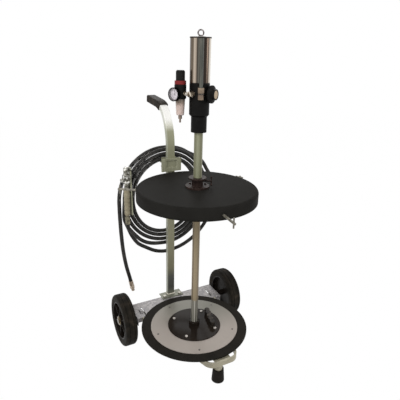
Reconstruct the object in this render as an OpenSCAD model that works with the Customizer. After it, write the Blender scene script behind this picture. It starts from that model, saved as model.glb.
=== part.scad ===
// Air-driven grease pump for a drum, standing on a two-wheeled trolley, with follower plate, drum cover,
// filter-regulator, and a delivery hose with a hand gun hung on the trolley's post.
// Frame: Z up from the floor, X along the wheel axle, Y towards the handle, origin under the middle of the part.

/* [Wheels] */
// Wheel diameter over the tyre
wheel_d = 200; // [180:1:210]
// Width of the tyre
tyre_w = 46; // [38:1:50]
// Radial height of the tyre's rubber
tyre_wall = 27; // [22:1:32]
// Rounding of the tyre's shoulders
tyre_round = 9; // [5:1:12]
// Distance over the outer faces of the two tyres
track_w = 504; // [490:1:520]
// Diameter of the axle
axle_d = 20; // [18:1:22]
// Diameter of the caps pressed on the axle's ends
axle_cap_d = 35; // [30:1:40]

/* [Axle plate] */
// Reach of the hub's boss from the wheel's middle towards the plate
boss_in = 41.9; // [38:0.1:46]
// Front edge of the plate, ahead of the axle
plate_front = 38; // [34:1:44]
// Rear edge of the plate, behind the axle
plate_rear = 60; // [58:1:64]
// Height of the plate's top above the floor
plate_top = 113; // [111:1:116]
// Thickness of the plate
plate_t = 3; // [2:0.5:3]
// Depth of the plate's folded front and rear edges
plate_lip = 20; // [18:1:24]
// Distance of the lanced slots from the plate's ends
slot_inset = 34.5; // [32:0.5:46]
// Length of a lanced slot
slot_l = 54; // [40:1:60]
// Width of a lanced slot
slot_w = 6; // [4:1:8]

/* [Post] */
// Width of the rectangular tube
post_w = 30; // [25:1:32]
// Depth of the rectangular tube
post_depth = 20; // [18:1:24]
// Wall thickness of the tube
post_wall = 1.5; // [1.2:0.1:2]
// Outer corner radius of the tube
post_corner = 3; // [2.5:0.5:4]
// Height at which the tube starts to bend
post_straight_z = 755; // [740:1:780]
// Radius of the first, slack bend
bend_a_r = 190; // [170:1:210]
// Angle of the first bend
bend_a_angle = 35; // [25:1:45]
// Radius of the second, tight bend
bend_b_r = 95; // [80:1:115]
// Angle from upright at which the second bend ends
bend_b_angle = 84; // [78:1:95]
// Straight length after the second bend
handle_run = 80; // [70:1:100]
// Angle from upright at which the grip starts
grip_angle = 61; // [50:1:70]
// Width of the grip sleeve
grip_w = 38; // [34:1:42]
// Height of the grip sleeve
grip_h = 28; // [25:1:32]
// Width of the shoe that holds the post
shoe_w = 92; // [80:1:110]
// Depth of the shoe
shoe_depth = 42; // [38:1:50]
// Thickness of the shoe
shoe_t = 4; // [3:0.5:5]
// Shank diameter of the trolley's bolts
bolt_d = 8; // [6:1:8]
// Width across flats of the bolt heads and nuts
bolt_flats = 13; // [10:1:13]

/* [Hose hanger] */
// Width of the strap on the post's front
hanger_w = 79; // [70:1:90]
// Height of the strap
hanger_h = 50; // [40:1:60]
// Height of the strap's lower edge above the floor
hanger_z = 662; // [650:1:662]
// Sheet thickness of the hanger
hanger_t = 3; // [2:0.5:3]
// Distance between the two hooks
hook_spread = 44; // [36:1:44]
// Diameter of a hook's rod
hook_d = 8; // [6:1:8]

/* [Front frame] */
// Thickness of the frame's flat bar
bar_t = 6; // [5:1:7]
// Height of the frame's flat bar
bar_h = 20; // [18:1:20]
// Sideways offset of the frame's middle
frame_x = -4; // [-8:1:0]
// Distance from the axle to the front of the nose
nose_ahead = 385; // [380:1:390]
// Outer radius of the nose's corners
nose_r = 36; // [30:1:40]
// Sideways distance from the frame's middle to a corner's centre
nose_half = 28; // [26:1:32]
// Distance from the plate's end to a side bar's outer face
bar_inset = 22.7; // [18:0.1:30]
// Width of the strip under the pump
strip_w = 60; // [50:1:64]
// Thickness of the strip
strip_t = 5; // [4:1:6]
// Distance from the front of the nose back to the foot
foot_back = 38; // [34:1:44]
// Diameter of the foot's steel stub
stub_d = 30; // [26:1:32]
// Height of the rubber foot
foot_h = 50; // [45:1:55]
// Diameter of the rubber foot at the floor
foot_low_d = 45; // [42:1:50]
// Diameter of the rubber foot at its top
foot_top_d = 38.5; // [37:0.5:42]

/* [Pump tube] */
// Sideways place of the pump's axis
pump_x = -10; // [-14:1:-6]
// Distance from the axle to the pump's axis
pump_ahead = 172; // [170:1:176]
// Outer diameter of the lower tube
tube_d = 26; // [25:0.5:27]
// Outer diameter of the intake end
intake_d = 25; // [24:0.5:25]
// Bore of the lower tube
tube_bore = 20; // [18:1:21]
// Length of the intake end
intake_l = 128; // [112:1:150]
// Outer diameter of the upper sleeve
sleeve_d = 28.4; // [28:0.2:30]
// Length of the upper sleeve
sleeve_l = 296; // [290:1:300]
// Length of the tube from its seat to the neck
tube_l = 744; // [742:1:760]

/* [Air motor] */
// Outer diameter of the neck
neck_d = 50.5; // [48:0.5:54]
// Outer diameter of the motor's body and cylinder
motor_d = 63.5; // [62:0.5:65]
// Height of the neck
neck_h = 50; // [46:1:54]
// Height of the motor's body
body_h = 99; // [95:1:103]
// Height of the chromed cylinder
cylinder_h = 130; // [120:1:136]
// Wall thickness of the cylinder
cylinder_wall = 2; // [1.5:0.5:3]
// Thickness of the top cap
cap_t = 4; // [4:1:8]
// Turn of the motor's ports about the pump's axis
port_turn = 22.7; // [10:0.1:35]
// Height of the ports' axes above the body's lower end
port_rise = 69; // [67:1:71]
// Diameter of the plunger rod
rod_d = 12; // [10:1:14]
// Height of the piston above the cylinder's lower end, at the bottom of its stroke
piston_rise = 5; // [3:1:9]
// Thickness of the piston
piston_t = 16; // [14:1:20]
// Height of the eye's centre above the cylinder
eye_rise = 15; // [14.5:0.5:20]
// Mean diameter of the eye
eye_d = 16; // [15:1:18]
// Thickness of the eye's wire
eye_wire = 5; // [4.5:0.5:5.5]
// Diameter of the transfer tube
transfer_d = 12.5; // [11:0.5:13]
// Distance of the transfer tube from the pump's axis
transfer_r = 38.5; // [38:0.5:40]
// Diameter of the silencer's housing
silencer_d = 54; // [48:1:56]
// Diameter of the silencer's collar
collar_d = 33; // [30:1:36]
// Distance from the pump's axis to the silencer's end
silencer_r = 58; // [56:1:62]

/* [Filter-regulator] */
// Distance from the pump's axis to the inlet elbow
elbow_r = 40; // [39:1:42]
// Distance from the elbow to the regulator's axis
nipple_run = 44; // [42:1:48]
// Diameter of the regulator's body
regulator_d = 37; // [36:1:38]
// Height of the body above the ports' axes
regulator_rise = 27; // [26:1:30]
// Diameter of the knob
knob_d = 27; // [25:1:29]
// Height of the knob
knob_h = 30; // [26:1:34]
// Depth of the body below the ports' axes
regulator_drop = 17; // [16:1:19]
// Height of the bowl
bowl_h = 50; // [46:1:54]
// Diameter of the bowl at its top
bowl_top_d = 31; // [29:1:33]
// Diameter of the bowl at its lower end
bowl_low_d = 25; // [23:1:27]
// Outer diameter of the gauge
gauge_d = 41; // [40:1:44]

/* [Drum cover] */
// Diameter of the cover
cover_d = 410; // [400:1:415]
// Height of the cover's top at rest
cover_top = 667; // [665:1:668]
// Height of the cover's skirt
skirt_h = 41; // [36:1:46]
// Sheet thickness of the cover
cover_t = 2; // [1.5:0.5:2.5]
// Rounding of the cover's edge
cover_round = 10; // [6:1:12]
// Diameter of the collar's flange
flange_d = 80; // [76:1:84]
// Diameter of the collar's boss
boss_d = 38; // [37:1:39]
// Height of the collar above the cover
collar_h = 34; // [32:1:38]
// Diameter of the disc on top of the collar
collar_top_d = 60; // [56:1:62]
// Direction of the first rim screw
rim_turn = 24.7; // [20:0.1:30]
// Distance from the pump's axis to the end of a rim screw
rim_reach = 275; // [265:1:280]

/* [Follower] */
// Diameter of the rubber wiper
wiper_d = 396; // [390:1:398]
// Thickness of the wiper
wiper_t = 4; // [3:1:4]
// Diameter of the steel ring
ring_d = 326; // [316:1:330]
// Thickness of the steel ring
ring_t = 2; // [1.5:0.5:2.5]
// Diameter of the black centre plate
dome_d = 198; // [190:1:204]
// Thickness of the black centre plate
dome_t = 3; // [2:1:4]
// Height of the bush round the tube
bush_h = 19; // [16:1:22]
// Distance of the centre plate's bolts from the tube
follower_bolt_r = 82; // [78:1:86]
// Distance of the ring's rivets from the tube
rivet_r = 145; // [138:1:150]
// Length of the follower's handle
handle_l = 100; // [90:1:104]

/* [Hose] */
// Outer diameter of the hose
hose_d = 15; // [14:0.1:15]
// Radius of the coil's outermost loop
coil_r = 198; // [197:1:199]
// Distance between the coil's two layers
layer_gap = 16; // [15.8:0.1:16.5]
// Length of the fitting on the hose's free end
fitting_l = 48; // [44:1:52]

/* [Grease gun] */
// Diameter of the grip
gun_grip_d = 24; // [20:1:25]
// Width of the valve block
block_w = 24; // [22:1:26]

/* [Hidden] */
$fn = 96;
// Running clearance on a radius, and the gap between faces that only rest on each other
run_gap = 0.05;
seat_gap = 0.3;
// Fine edges, small rings and thin washers
edge = 1;
thin = 2;
// Axle height and the places of things along Y
axle_z = wheel_d / 2;
// Hub: its rim, web, boss and ribs, and the step of the axle's caps
hub_inset = 2;
hub_rim_t = 5;
hub_web_t = 6;
hub_boss_d = 40;
hub_recess = 4;
hub_rib_t = 2;
cap_step = 4;
tyre_in_r = wheel_d / 2 - tyre_wall;
plate_w = track_w - tyre_w - 2 * boss_in - 4 * seat_gap;
slot_x = plate_w / 2 - slot_inset;
foot_ahead = nose_ahead - foot_back;
grip_end_t = 3;
rim_screw_d = 8;
bend_c_y = 70;
handle_dy = (handle_run + grip_end_t) * sin(bend_b_angle);
bend_y = bend_c_y + bend_a_r - (bend_a_r - bend_b_r) * cos(bend_a_angle);
bend_z = post_straight_z + (bend_a_r - bend_b_r) * sin(bend_a_angle);
rear_reach = bend_y - bend_b_r * cos(bend_b_angle) + handle_dy + grip_h / 2 * abs(cos(bend_b_angle));
front_screw_turn = rim_turn + 240;
front_reach = pump_ahead - rim_reach * sin(front_screw_turn) + rim_screw_d / 2 * cos(front_screw_turn - 180);
axle_y = (front_reach - rear_reach) / 2;
pump_y = axle_y - pump_ahead;
// Post shoe and bolts
shoe_front = 40;
shoe_bolt_x = 34;
shoe_bolt_y = 50;
bolt_head_t = 5.3;
nut_t = 6.5;
// Hanger
hanger_x = -1.5;
hanger_rim = 4;
pocket_side = 18;
pocket_low = 15;
pocket_high = 8;
hook_rise = 28.5;
hook_z = hanger_z + hook_rise;
hook_run = 37;
hook_tip = 14;
hanger_bolt_x = 26;
// Front frame: the side bars touch the nose's round corners and end at the plate's front
lip_back = 25;
lip_ahead = nose_ahead - lip_back;
lip_angle = 30;
lip_l = 2 * nose_half + nose_r;
corner_y = nose_r - nose_ahead;
bar_end_x = plate_w / 2 - bar_inset;
bar_end_run = nose_ahead - nose_r - plate_front;
side_angle = atan2(bar_end_x - nose_half, bar_end_run) - asin(nose_r / norm([bar_end_x - nose_half, bar_end_run]));
side_l = nose_ahead;
nose_steps = ceil((90 - side_angle) / 4);
strip_drop = 10;
strip_z = plate_top - strip_drop;
stub_z = 12;
// Heights of the pump, from its seat on the strip upwards
base_z = strip_z + strip_t;
intake_top = base_z + intake_l;
neck_z = base_z + tube_l;
sleeve_z = neck_z - sleeve_l;
body_z = neck_z + neck_h;
cylinder_z = body_z + body_h;
cylinder_top = cylinder_z + cylinder_h;
port_z = body_z + port_rise;
piston_z = cylinder_z + piston_rise;
eye_z = cylinder_top + eye_rise;
eye_stud_d = 10;
eye_collar_d = 16;
eye_flat_w = 3;
// Motor details
body_chamfer = 5;
collar_t = 3;
element_in = 6;
element_t = 5;
port_r = 6;
spigot_d = 16;
nut_flats = 18;
nut_upper_h = 20;
nut_lower_h = 15;
housing_in = 38.2;
housing_t = 9;
spigot_in = 24;
silencer_turn = -80;
element_d = 26;
ear_d = 19;
outlet_rise = 25;
outlet_z = neck_z + outlet_rise;
outlet_r = 5.9;
outlet_l = 14;
seal_w = 3;
seal_depth = 2.5;
// Regulator details
regulator_at = [-elbow_r, nipple_run];
elbow_d = 22;
elbow_flats = 2 * (elbow_r - motor_d / 2 - seat_gap);
nipple_d = 12;
socket_l = 5;
red_ring_z = port_z + regulator_rise;
regulator_z = port_z - regulator_drop;
bowl_z = regulator_z - bowl_h;
gauge_drop = 2;
gauge_z = port_z - gauge_drop;
gauge_stem = 4;
gauge_case_t = 11;
gauge_wall = 2;
dial_t = 0.6;
lens_t = 1.5;
needle_w = 1.2;
needle_l = 14;
regulator_bore = 24;
screw_d = 8;
spring_d = 16;
spring_wire = 2.4;
spring_turns = 5;
spring_h = 20;
bowl_wall = 2;
filter_d = 15;
filter_h = 26;
drain_d = 12;
drain_h = 23;
red_ring_d = 36;
knob_rib_r = 1.5;
knob_roof = 4;
red_ring_h = 11;
// Cover and its screws
skirt_z = cover_top - skirt_h;
rim_drop = 25;
rim_z = cover_top - rim_drop;
rim_bar_d = 5;
rim_bar_l = 32;
rim_bar_r = rim_reach - (rim_bar_d + rim_screw_d + edge) / 2;
rim_boss_d = 16;
rim_boss_l = 13;
rim_tip_in = 21;
rim_tip_r = cover_d / 2 - rim_tip_in;
clamp_rise = 23;
clamp_z = cover_top + clamp_rise;
clamp_d = 6;
clamp_run = 27;
clamp_r = boss_d / 2 + clamp_run;
clamp_bar_l = 26;
clamp_bar_d = 4;
clamp_ball_d = 8;
clamp_turn = -33;
collar_bolt_r = (boss_d + flange_d) / 4;
collar_bolt_d = 5;
collar_nut_h = 4;
collar_bolt_flats = 8;
collar_bolt_h = 4;
flange_h = 6;
collar_top_t = 5;
// Follower heights
follower_z = plate_top + seat_gap;
ring_z = follower_z + wiper_t;
dome_z = ring_z + ring_t;
dome_top = dome_z + dome_t;
bush_d = 40;
ring_bore = 120;
wiper_bore = 110;
handle_w = 16;
handle_r = 64.2;
handle_turn = -4.5;
handle_tilt = -9.8;
handle_gap = 10;
handle_bar = 10;
lobe_d = 20;
follower_bolt_d = 10;
follower_head_h = 3;
rivet_d = 7;
bolt_turn = 42.7;
rivet_turn = 33.7;
// Gun heights above its lower end, and its place relative to the axle
gun_at = [-179, 62];
gun_z = 473;
gun_nut_z = 15;
gun_hex_h = 14;
ferrule_t = 1.5;
ferrule_d = hose_d + 2 * ferrule_t;
gun_grip_z = 35;
gun_grip_h = 101;
rib_pitch = 17;
rib_depth = 6;
rib_first_share = 0.6;
rib_share = 0.7;
gun_neck_h = 28;
gun_block_z = gun_grip_z + gun_grip_h + gun_neck_h;
gun_block_h = 28;
gun_head_h = 26;
gun_tip_h = 4;
gun_ear_run = 5;
gun_lever_rise = 50;
gun_lever_top = gun_block_z + gun_lever_rise;
gun_lever_l = 180;
gun_lever_t = 4;
gun_lever_w = 12;
gun_lever_x = 15;
gun_lever_angle = -1;
gun_pin_d = 5;

// Hose coil: its middle, the heights of the loops' tops, and how each loop is smaller than the one outside it
coil_x = -8;
coil_top = 753;
loop_drop = 17.1;
loop_step = 17.3;
coil_x_share = 0.95;
coil_z_share = 1.03;
layer_a_y = 91;
// Share of a turn in which the hose goes over from the gun to the front layer
lead_share = 0.11;
// Shares of a turn: start, end of the inward spiral, start of the outward spiral, start of the slack, end
turn_shares = [0.125, 3, 3.5, 3.75, 5];
loop_points = 32;
hose_sides = 8;
// The last loop hangs slack: how far it stands out at each twelfth of a turn
slack = [0, 2, 6, 11, 31, 54, 70, 71, 70, 58, 30, 6, 0, 0, 0, 0];
lead_start = [-179, 62, 473];
lead_run = 16;
// Free tail below the coil, relative to the axle
tail_route = [[-196, 107, 521], [-196, 107, 505], [-195, 107, 460], [-193, 107, 408], [-188, 107, 339],
              [-178, 107, 270], [-165, 107, 212], [-162, 107, 197]];
tail_steps = 2;

function smooth(s) = s <= 0 ? 0 : s >= 1 ? 1 : s * s * (3 - 2 * s);
function slack_at(turn) =
    let (k = (turn - turn_shares[3]) * 12, i = min(len(slack) - 2, max(0, floor(k))))
    turn < turn_shares[3] ? 0 : slack[i] + (slack[i + 1] - slack[i]) * smooth(k - i);
function loop_no(turn) =
    turn < turn_shares[1] ? turn : turn < turn_shares[2] ? turn_shares[1]
    : turn_shares[1] * (turn_shares[4] - turn) / (turn_shares[4] - turn_shares[2]);
function loop_y(turn) =
    layer_a_y + layer_gap * smooth((turn - turn_shares[1]) / (turn_shares[2] - turn_shares[1]))
    - (layer_a_y - lead_start[1]) * (1 - smooth((turn - turn_shares[0]) / lead_share));
function coil_point(turn) =
    let (n = loop_no(turn), a = 180 + 360 * turn, r = coil_r - loop_step * n,
         z = coil_top - loop_drop * n - coil_z_share * r, out = r + slack_at(turn))
    [coil_x + coil_x_share * out * cos(a), loop_y(turn), z + coil_z_share * out * sin(a)];
function unit(v) = v / norm(v);
function tangent(p, i) = unit(p[min(i + 1, len(p) - 1)] - p[max(i - 1, 0)]);
function spline_point(p, i, s) =
    let (a = p[max(i - 1, 0)], b = p[i], c = p[i + 1], d = p[min(i + 2, len(p) - 1)])
    (2 * b + (c - a) * s + (2 * a - 5 * b + 4 * c - d) * s * s + (3 * b - a - 3 * c + d) * s * s * s) / 2;
function spline(p, steps) =
    concat([p[0]], [for (i = [1:len(p) - 3]) for (s = [0:steps - 1]) spline_point(p, i, s / steps)],
           [p[len(p) - 2], p[len(p) - 1]]);
function ring_points(p, i, r, n, side) =
    let (t = tangent(p, i), a = unit(cross(side, t)), b = cross(t, a))
    [for (k = [0:n - 1]) p[i] + r * cos(360 * k / n) * a + r * sin(360 * k / n) * b];
function least_gap(p, apart) =
    min([for (i = [0:len(p) - 1 - apart]) min([for (j = [i + apart:len(p) - 1]) norm(p[i] - p[j])])]);

turn_first = 3;
coil_path = concat([lead_start, lead_start - [0, 0, lead_run]],
                   [for (i = [turn_first + 1:loop_points * turn_shares[4]]) coil_point(i / loop_points)],
                   [tail_route[0]]);
tail_path = spline(tail_route, tail_steps);
spring_path = [for (i = [0:spring_turns * 8])
    [(spring_d - spring_wire) / 2 * cos(45 * i), (spring_d - spring_wire) / 2 * sin(45 * i),
     spring_wire / 2 + (spring_h - spring_wire) * i / (spring_turns * 8)]];
echo(least_coil_gap = least_gap(coil_path, loop_points / 2) - hose_d);

// Places: relative to the axle, on the pump's axis, turned with the ports, and on the regulator's axis
module on_axle() {
    translate([0, axle_y, 0]) children();
}
module on_pump() {
    translate([pump_x, pump_y, 0]) children();
}
module on_ports() {
    on_pump() rotate(port_turn) children();
}
module on_regulator() {
    on_ports() translate([regulator_at[0], regulator_at[1], 0]) children();
}

// Shared shapes
module hexagon(flats, h) {
    cylinder(d = flats / cos(30), h = h, $fn = 6);
}
module pipe(outer, inner, h) {
    difference() {
        cylinder(d = outer, h = h);
        translate([0, 0, -edge]) cylinder(d = inner, h = h + 2 * edge);
    }
}
module along_x() {
    rotate([0, 90, 0]) children();
}
module rounded_box(w, d, r) {
    difference() {
        square([w, d], center = true);
        for (x = [-1, 1], y = [-1, 1]) translate([x * w / 2, y * d / 2]) square(2 * r, center = true);
    }
    for (x = [-1, 1], y = [-1, 1]) translate([x * (w / 2 - r), y * (d / 2 - r)]) circle(r);
}
module sweep(p, r, n, side) {
    points = [for (i = [0:len(p) - 1]) each ring_points(p, i, r, n, side)];
    sides = [for (i = [0:len(p) - 2]) for (k = [0:n - 1]) let (m = (k + 1) % n)
        each [[i * n + k, i * n + m, (i + 1) * n + m], [i * n + k, (i + 1) * n + m, (i + 1) * n + k]]];
    ends = [[for (k = [n - 1:-1:0]) k], [for (k = [0:n - 1]) (len(p) - 1) * n + k]];
    polyhedron(points = points, faces = [for (f = concat(sides, ends)) [for (k = [len(f) - 1:-1:0]) f[k]]]);
}

// Wheels and axle
module tyre() {
    rotate_extrude() translate([tyre_in_r + tyre_wall / 2, 0]) {
        difference() {
            rounded_box(tyre_wall, tyre_w, tyre_round);
            for (y = [-1, 1]) translate([tyre_wall / 2 - edge, y * tyre_w / 5]) square(thin, center = true);
        }
        translate([-tyre_wall / 2, -tyre_w / 2 + edge]) square([tyre_round, tyre_w - thin]);
    }
}
module hub() {
    rim_w = tyre_w - 2 * hub_inset;
    difference() {
        union() {
            difference() {
                translate([0, 0, -rim_w / 2]) cylinder(r = tyre_in_r, h = rim_w);
                for (z = [hub_web_t / 2, -rim_w]) translate([0, 0, z])
                    cylinder(r = tyre_in_r - hub_rim_t, h = rim_w - hub_web_t / 2);
            }
            cylinder(d = hub_boss_d, h = tyre_w / 2 - hub_recess);
            translate([0, 0, -boss_in]) cylinder(d = axle_d + 2 * hub_inset, h = boss_in);
            for (a = [0:60:300]) rotate(a) translate([hub_boss_d / 2 - thin, -hub_rib_t / 2, 0])
                cube([tyre_in_r - hub_rim_t / 2 - hub_boss_d / 2 + thin, hub_rib_t, tyre_w / 2 - hub_recess - hub_rib_t]);
        }
        translate([0, 0, -track_w]) cylinder(r = axle_d / 2 + run_gap, h = 2 * track_w);
    }
}
module wheel_place(side) {
    on_axle() translate([side * (track_w - tyre_w) / 2, 0, axle_z]) rotate([0, side * 90, 0]) children();
}
module hub_left() {
    color("#232221") wheel_place(-1) hub();
}
module hub_right() {
    color("#232221") wheel_place(1) hub();
}
module tyre_left() {
    color("#2d2926") wheel_place(-1) tyre();
}
module tyre_right() {
    color("#2d2926") wheel_place(1) tyre();
}
cap_x = track_w / 2 - hub_recess + seat_gap;
module axle() {
    color("#8d8b86") on_axle() translate([-cap_x - thin, 0, axle_z]) along_x() cylinder(d = axle_d, h = 2 * (cap_x + thin));
}
module axle_caps() {
    color("#c9c4b4") for (side = [-1, 1]) on_axle() translate([side * cap_x, 0, axle_z]) rotate([0, side * 90, 0])
        difference() {
            union() {
                cylinder(d = axle_cap_d, h = thin);
                cylinder(d = axle_cap_d - cap_step, h = cap_step);
                cylinder(d = axle_d + thin, h = cap_step + thin);
            }
            translate([0, 0, -edge]) cylinder(d = axle_d, h = thin + edge);
        }
}

// Folded plate that carries the axle, with a lanced slot and a raised half disc at each end
module axle_plate() {
    depth = plate_front + plate_rear;
    end_z = axle_z - axle_d;
    color("#a9a6ae") on_axle() difference() {
        union() {
            translate([-plate_w / 2, -plate_front, plate_top - plate_t]) cube([plate_w, depth, plate_t]);
            for (y = [-plate_front, plate_rear - plate_t]) translate([-plate_w / 2, y, plate_top - plate_lip])
                cube([plate_w, plate_t, plate_lip]);
            for (side = [-1, 1]) translate([side * (plate_w - plate_t) / 2, (plate_rear - plate_front) / 2, 0])
                translate([-plate_t / 2, -depth / 2, end_z]) cube([plate_t, depth, plate_top - end_z]);
            for (side = [-1, 1]) translate([side * slot_x + (side - 1) * slot_w, -slot_l / 2, plate_top - plate_t])
                rotate([90, 0, 90]) linear_extrude(2 * slot_w) intersection() {
                    translate([slot_l / 2, -slot_l / 3]) circle(slot_l / 2);
                    square([slot_l, slot_l / 4]);
                }
        }
        for (side = [-1, 1]) translate([side * slot_x - side * slot_w / 2, 0, plate_top])
            cube([slot_w, slot_l, slot_l], center = true);
        translate([-plate_w, 0, axle_z]) along_x() cylinder(d = axle_d, h = 2 * plate_w);
        for (x = [-1, 1]) translate([x * shoe_bolt_x, shoe_bolt_y, 0]) cylinder(d = bolt_d, h = plate_top + edge);
    }
}

// Bent rectangular post with the shoe welded to its foot
module post_section(outer_w, outer_d, inner_w, inner_d, corner) {
    difference() {
        rounded_box(outer_d, outer_w, corner);
        rounded_box(inner_d, inner_w, max(corner - post_wall, edge));
    }
}
module tube_section() {
    post_section(post_w, post_depth, post_w - 2 * post_wall, post_depth - 2 * post_wall, post_corner);
}
module on_bend(y, z) {
    translate([0, y, z]) rotate([90, 0, -90]) children();
}
module post() {
    foot_z = plate_top - plate_lip;
    color("#a9ab93") on_axle() {
        translate([0, bend_c_y, foot_z]) rotate(90) linear_extrude(post_straight_z - foot_z) tube_section();
        on_bend(bend_c_y + bend_a_r, post_straight_z) rotate_extrude(angle = bend_a_angle)
            translate([bend_a_r, 0]) tube_section();
        on_bend(bend_y, bend_z) rotate(bend_a_angle) rotate_extrude(angle = bend_b_angle - bend_a_angle)
            translate([bend_b_r, 0]) tube_section();
        on_bend(bend_y, bend_z) rotate(bend_b_angle) translate([bend_b_r, 0, 0]) rotate([-90, 0, 0])
            linear_extrude(handle_run) tube_section();
        difference() {
            translate([-shoe_w / 2, shoe_front, plate_top]) cube([shoe_w, shoe_depth, shoe_t]);
            translate([0, bend_c_y, 0]) rotate(90) linear_extrude(post_straight_z)
                rounded_box(post_depth - post_wall, post_w - post_wall, post_corner - post_wall / 2);
            for (x = [-1, 1]) translate([x * shoe_bolt_x, shoe_bolt_y, 0]) cylinder(d = bolt_d, h = post_straight_z);
        }
    }
}
module grip_section() {
    difference() {
        rounded_box(grip_h, grip_w, post_corner + thin);
        rounded_box(post_depth, post_w, post_corner);
    }
}
module post_grip() {
    color("#2b2725") on_axle() on_bend(bend_y, bend_z) {
        rotate(grip_angle) rotate_extrude(angle = bend_b_angle - grip_angle) translate([bend_b_r, 0]) grip_section();
        rotate(bend_b_angle) translate([bend_b_r, 0, 0]) rotate([-90, 0, 0]) {
            linear_extrude(handle_run) grip_section();
            translate([0, 0, handle_run]) linear_extrude(grip_end_t) rounded_box(grip_h, grip_w, post_corner + thin);
        }
    }
}
module bolt(grip_l, end_l) {
    translate([0, 0, grip_l]) hexagon(bolt_flats, bolt_head_t);
    translate([0, 0, -end_l]) cylinder(d = bolt_d, h = grip_l + end_l);
}
hanger_back_y = bend_c_y + post_depth / 2;
hanger_front_y = bend_c_y - post_depth / 2 - hanger_t;
module trolley_bolts() {
    color("#b9b8ac") on_axle() {
        for (x = [-1, 1]) translate([x * shoe_bolt_x, shoe_bolt_y, plate_top - plate_t]) {
            bolt(plate_t + shoe_t, nut_t + thin);
            translate([0, 0, -nut_t]) hexagon(bolt_flats, nut_t);
        }
        for (x = [-1, 1]) translate([hanger_x + x * hanger_bolt_x, hanger_back_y, hanger_z + hanger_h / 3]) rotate([-90, 0, 0])
            translate([0, 0, -post_depth]) {
                translate([0, 0, -hanger_t]) cylinder(d = bolt_d, h = post_depth + hanger_t);
                hexagon(bolt_flats, nut_t);
                translate([0, 0, post_depth - nut_t]) hexagon(bolt_flats, nut_t);
            }
    }
}

// Hanger: a thick strap with a pocket before the post, and a plate with two hooks behind it
module hanger_strap() {
    color("#a6a890") on_axle() translate([hanger_x - hanger_w / 2, hanger_front_y, hanger_z]) difference() {
        union() {
            cube([hanger_w, hanger_t, hanger_h]);
            difference() {
                translate([0, -hanger_rim, 0]) cube([hanger_w, hanger_rim, hanger_h]);
                translate([pocket_side, -2 * hanger_rim, pocket_low])
                    cube([hanger_w - 2 * pocket_side, 2 * hanger_rim, hanger_h - pocket_low - pocket_high]);
            }
        }
        for (x = [-1, 1]) translate([hanger_w / 2 + x * hanger_bolt_x, 0, hanger_h / 3]) rotate([-90, 0, 0])
            cylinder(d = bolt_d, h = 2 * hanger_t);
    }
}
module hanger_hook() {
    plate_w2 = hook_spread + 2 * hook_d;
    color("#a6a890") on_axle() {
        translate([hanger_x - plate_w2 / 2, hanger_back_y, hanger_z]) cube([plate_w2, hanger_t, hanger_h]);
        for (x = [-1, 1]) translate([hanger_x + x * hook_spread / 2, hanger_back_y + thin, hook_z]) {
            rotate([-90, 0, 0]) cylinder(d = hook_d, h = hook_run);
            translate([0, hook_run, 0]) sphere(d = hook_d);
            translate([0, hook_run, 0]) cylinder(d = hook_d, h = hook_tip);
            translate([0, hook_run, hook_tip]) sphere(d = hook_d);
        }
    }
}

// Front frame of flat bar on edge, with its lip, the strip under the pump and the stub of the foot
function side_outline(r, side) =
    [for (i = [0:nose_steps]) let (a = -90 + (90 - side_angle) * i / nose_steps)
        [side * (nose_half + r * cos(a)), corner_y + r * sin(a)]];
function side_end(r, side) =
    [side * (nose_half + r * cos(side_angle) + side_l * sin(side_angle)),
     corner_y - r * sin(side_angle) + side_l * cos(side_angle)];
function backwards(p) = [for (i = [len(p) - 1:-1:0]) p[i]];
function bar_outline(r) =
    concat([side_end(r, -1)], backwards(side_outline(r, -1)), side_outline(r, 1), [side_end(r, 1)]);
module scale_side(side) {
    if (side > 0) children();
    else mirror([1, 0, 0]) children();
}
module base_frame() {
    bar_z = plate_top - bar_h;
    color("#b4b3a6") on_axle() translate([frame_x, 0, 0]) {
        difference() {
            union() {
                translate([0, 0, bar_z]) linear_extrude(bar_h)
                    polygon(concat(bar_outline(nose_r), backwards(bar_outline(nose_r - bar_t))));
                intersection() {
                    for (side = [-1, 1]) translate([0, -lip_ahead, bar_z]) scale_side(side)
                        rotate(lip_angle) cube([lip_l, bar_t, bar_h]);
                    translate([0, 0, bar_z - edge]) linear_extrude(bar_h + 2 * edge)
                        polygon(bar_outline(nose_r - bar_t / 2));
                }
                translate([-strip_w / 2, -nose_ahead + bar_t / 2, strip_z]) cube([strip_w, nose_ahead, strip_t]);
            }
            translate([-track_w, -plate_front, 0]) cube([2 * track_w, side_l, plate_top + edge]);
        }
        translate([0, -foot_ahead, stub_z]) cylinder(d = stub_d, h = strip_z - stub_z);
    }
}
module rubber_foot() {
    color("#242322") on_axle() translate([frame_x, -foot_ahead, 0]) rotate_extrude() difference() {
        polygon([[0, 0], [foot_low_d / 2 - thin, 0], [foot_low_d / 2, thin], [foot_top_d / 2, foot_h], [0, foot_h]]);
        translate([0, stub_z]) square([stub_d / 2, foot_h]);
    }
}

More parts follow.
